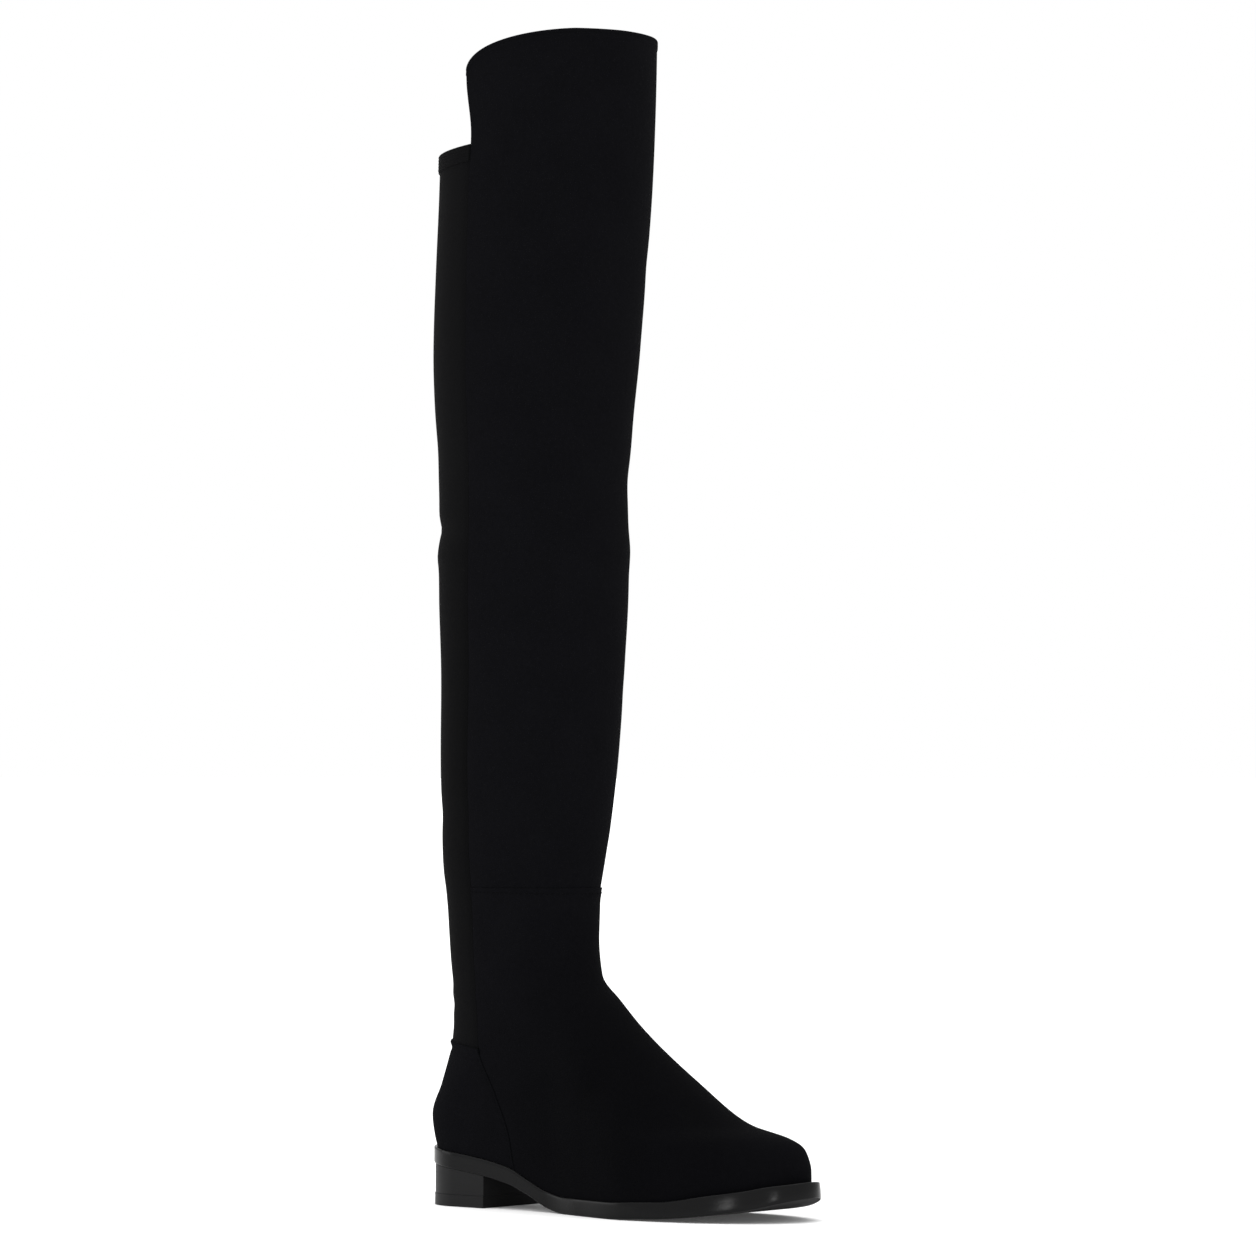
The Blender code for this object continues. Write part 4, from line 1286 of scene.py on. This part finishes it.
def run_tree(piece, tree, values):
    """Runs a tree on a guide mesh and keeps the result as the piece's plain mesh."""
    modifier = piece.modifiers.new(tree.name, "NODES")
    modifier.node_group = tree
    for item in tree.interface.items_tree:
        if item.in_out == "INPUT" and item.name in values:
            modifier[item.identifier] = values[item.name]
    shown = piece.evaluated_get(bpy.context.evaluated_depsgraph_get())
    made = bpy.data.meshes.new_from_object(shown)
    piece.modifiers.clear()
    made.name = piece.name
    piece.data = made


bars, given, made = new_tree("tread_bars", "GeometryNodeTree", [SHAPE, FINISH], [SHAPE])
bar = add_node(bars, "GeometryNodeMeshCube", values={"Size": (1, 1, 1)}).outputs["Mesh"]
bar_size, bar_turn = attribute(bars, "bar_size"), attribute(bars, "bar_turn")
place_copies(bars, given["Geometry"], bar, bar_size, bar_turn, given["Finish"], made)
print("nodes in the tread tree", len(bars.nodes))

# %% Tread bars
BAR_PITCH = 0.0042
BAR_WIDTH = 0.0026
BAR_INSET = 0.0064
BAR_LIFT = 0.00002
TREAD_FIRST = 0.095
TREAD_LAST = 0.182
SLOPE_STEP = 0.002


def guide(name, points, attributes, edges=()):
    """A guide mesh of points, loose or joined by edges, with vector attributes for a tree to read."""
    mesh = bpy.data.meshes.new(name)
    mesh.from_pydata([tuple(p) for p in points], edges, [])
    for label, values in attributes.items():
        layer = mesh.attributes.new(label, "FLOAT_VECTOR", "POINT")
        layer.data.foreach_set("vector", np.asarray(values, np.float32).ravel())
    return add_object(name, mesh)


inner_line = drawn_in(SOLE_EDGE, BAR_INSET)
left = inner_line[EDGE_TURNS > 0][::-1]
right = inner_line[EDGE_TURNS < 0]
bar_points, bar_sizes, bar_turns = [], [], []
for x in np.arange(TREAD_FIRST, TREAD_LAST, BAR_PITCH):
    y_left = np.interp(x, left[:, 0], left[:, 1])
    y_right = np.interp(x, right[:, 0], right[:, 1])
    slope = float(underside(x + SLOPE_STEP) - underside(x - SLOPE_STEP)) / (2 * SLOPE_STEP)
    z = float(underside(x)) + TREAD_DEPTH / 2 + BAR_LIFT
    bar_points.append((x, (y_left + y_right) / 2, z))
    bar_sizes.append((BAR_WIDTH, y_left - y_right, TREAD_DEPTH))
    bar_turns.append((0.0, -math.atan(slope), 0.0))
tread = guide("tread_bars", bar_points, {"bar_size": bar_sizes, "bar_turn": bar_turns})
run_tree(tread, bars, {"Finish": tread_rubber})
dress(tread, None, "sole_rubber")
print("tread bars", len(bar_points))

# %% [markdown]
# ## Heel
# The heel is a low block with a straight breast, and a worn layer under it. Both are cut from the
# back of the sole's outline. The photo shows the breast a little further forward than the solid has
# it, by BREAST_FORWARD. A bevel softens their edges, as sanding and paint do.

# %% Heel
HEEL_COLUMNS = 70
HEEL_JOINT = 0.00012
HEEL_BEVEL = 0.0004
BREAST_FORWARD = 0.0046
BLOCK_STEP = 0.35 * BLOCK_INSET


def heel_outline(inset):
    """The back of the sole's outline, cut off straight where the photo shows the breast."""
    edge = drawn_in(SOLE_EDGE, inset)
    breast = HEEL_LENGTH + BREAST_FORWARD - HEEL_REST - inset
    turns = EDGE_TURNS[(edge[:, 0] < breast) & (EDGE_TURNS < 0)]
    cut = -turns.max()
    x, y = point_round(edge, np.linspace(cut, 2 * HALF_TURN - cut, 2 * HEEL_COLUMNS + 1))
    return np.column_stack([np.minimum(x, breast), y])


def heel_layer(name, inset, low, high):
    """A slice of the heel between two heights, each given for every point of its outline."""
    outline = heel_outline(inset)
    rings = [np.column_stack([outline, height(outline[:, 0])]) for height in (low, high)]
    piece = ring_stack(name, rings, offset=1)
    bevel = piece.modifiers.new("worn_edge", "BEVEL")
    bevel.width = HEEL_BEVEL
    bevel.segments = 3
    bevel.limit_method = "ANGLE"
    bevel.angle_limit = math.radians(50)
    bevel.harden_normals = True
    return piece


def flat_at(height):
    """A flat face at a height, for heel_layer."""
    return lambda x: np.full_like(x, height)


def under_sole(x):
    """The block's upper face, just under the sole."""
    return underside(x) - HEEL_JOINT


top_piece = heel_layer("heel_top_layer", -PAINT, flat_at(0.0), flat_at(TOP_PIECE_THICKNESS))
dress(top_piece, heel_paint, "sole_rubber", "heel_top_piece")
block_low = flat_at(TOP_PIECE_THICKNESS + HEEL_JOINT)
block = heel_layer("heel_block_paint", BLOCK_STEP - PAINT, block_low, under_sole)
dress(block, heel_paint, "sole_rubber", "heel_block")
# The breast faces get the darker copy of the heel paint: painted shade
for layer in (top_piece, block):
    paint_towards(layer, (1, 0, 0), least=0.9, finish=breast_paint)

# %% [markdown]
# ## Insole
# A padded sock lies on the sole inside the boot. It is seen from above through the collar.

# %% Insole
SOCK_THICKNESS = 0.0035
SOCK_CLEARANCE = 0.0004
# Inset and height of each ring, from the lower edge up, round the upper edge and over the padding
SOCK_RINGS = (
    (0.0, 0.0001),
    (0.0, SOCK_THICKNESS - 0.0012),
    (0.0004, SOCK_THICKNESS - 0.0004),
    (0.0012, SOCK_THICKNESS),
    (0.004, SOCK_THICKNESS + 0.0003),
    (0.010, SOCK_THICKNESS + 0.0006),
)
sock_line = drawn_in(UPPER_EDGE[::3], FOOT_WALL + SOCK_CLEARANCE)
sock_rings = []
for inset, up in SOCK_RINGS:
    edge = drawn_in(sock_line, inset)
    sock_rings.append(np.column_stack([edge, seat_top(edge[:, 0]) + up]))
dress(ring_stack("insole_sock", sock_rings), sock, "lining", "insole")

# %% [markdown]
# ## Stitches
# Rows of fine black stitches hold the folded edges. A stitch is a short rounded bead of thread, and
# a tree places one at each pitch along a guide line, lying along the line and facing outwards.

# %% Stitch tree
stitch_inputs = [SHAPE, FINISH, ("Pitch", NUMBER), ("Size", DIRECTION)]
sewing, given, made = new_tree("stitch_row", "GeometryNodeTree", stitch_inputs, [SHAPE])
line = add_node(sewing, "GeometryNodeMeshToCurve", values={"Mesh": given["Geometry"]})
stitch_values = {"Curve": line.outputs["Curve"], "Length": given["Pitch"]}
stitches = add_node(sewing, "GeometryNodeResampleCurve", {"mode": "LENGTH"}, stitch_values)
upright = {"Vector": attribute(sewing, "facing")}
stand = add_node(sewing, "FunctionNodeAlignRotationToVector", {"axis": "Z"}, upright)
tangent = add_node(sewing, "GeometryNodeInputTangent").outputs["Tangent"]
lying = {"Rotation": stand.outputs["Rotation"], "Vector": tangent}
lie = add_node(sewing, "FunctionNodeAlignRotationToVector", {"axis": "X", "pivot_axis": "Z"}, lying)
bead = add_node(sewing, "GeometryNodeMeshUVSphere", values={"Segments": 8, "Rings": 6, "Radius": 1.0})
soft_bead = add_node(sewing, "GeometryNodeSetShadeSmooth", values={"Geometry": bead.outputs["Mesh"]})
points, shape, turn = stitches.outputs["Curve"], soft_bead.outputs["Geometry"], lie.outputs["Rotation"]
place_copies(sewing, points, shape, given["Size"], turn, given["Finish"], made)
print("nodes in the stitch tree", len(sewing.nodes))

# %% Stitch rows
STITCH_PITCH = 0.0030
STITCH_SIZE = (0.00115, 0.00022, 0.00018)
STITCH_SINK = 0.0001
FREE_TURN = 0.02
BAND_STITCH = 0.0018
HEM_ROW_SHARE = 0.99


def sew(name, *rows):
    """One piece of stitches along several guide lines, each given by its points and normals."""
    edges = []
    first = 0
    for points, normals in rows:
        edges += [(first + i, first + i + 1) for i in range(len(points) - 1)]
        first += len(points)
    points, normals = (np.concatenate(part) for part in zip(*rows))
    piece = guide(name, points, {"facing": normals}, edges)
    run_tree(piece, sewing, {"Pitch": STITCH_PITCH, "Size": STITCH_SIZE, "Finish": thread})
    dress(piece, None, "suede")


def seam_line(levels, turns, proud):
    """Points and normals of a line on the finished surface."""
    return laid(levels, turns, -np.broadcast_to(proud, np.shape(turns))), outward(levels, turns)


across = np.linspace(-1, 1, 240)
levels = np.full_like(across, 1 - EDGE_STITCH / FOOT_RISE)
turns = across * (seam_turn(1.0) - FREE_TURN)
sew("ankle_seam_stitches", seam_line(levels, turns, LAP - STITCH_SINK))

across = spread(across) * HEM_ROW_SHARE
levels = top_of_front(across) - EDGE_STITCH / SHAFT_RISE
turns = across * seam_turn(levels)
sew("hem_stitches", seam_line(levels, turns, HEM_STEP - STITCH_SINK))

counter_lines = []
levels = np.linspace(0.10, 0.99, 120) * COUNTER_LEVEL
for side in (1, -1):
    turns = side * moved(levels, seam_turn(levels), EDGE_STITCH + SEAM_GAP)
    counter_lines.append(seam_line(levels, turns, COUNTER_STEP - STITCH_SINK))
shares = np.linspace(0.02, 0.98, 160)
levels = np.full_like(shares, COUNTER_LEVEL - RIDGE_STITCH / FOOT_RISE)
counter_lines.append(seam_line(levels, back_turns(levels, shares, SEAM_GAP), COUNTER_STEP))
sew("counter_stitches", *counter_lines)

shares = np.linspace(0.01, 0.99, 160)
levels = top_of_back(2 * shares - 1) - (BAND_HEIGHT - BAND_STITCH) / SHAFT_RISE
sew("band_stitches", seam_line(levels, back_turns(levels, shares, SEAM_GAP), BAND_STEP))
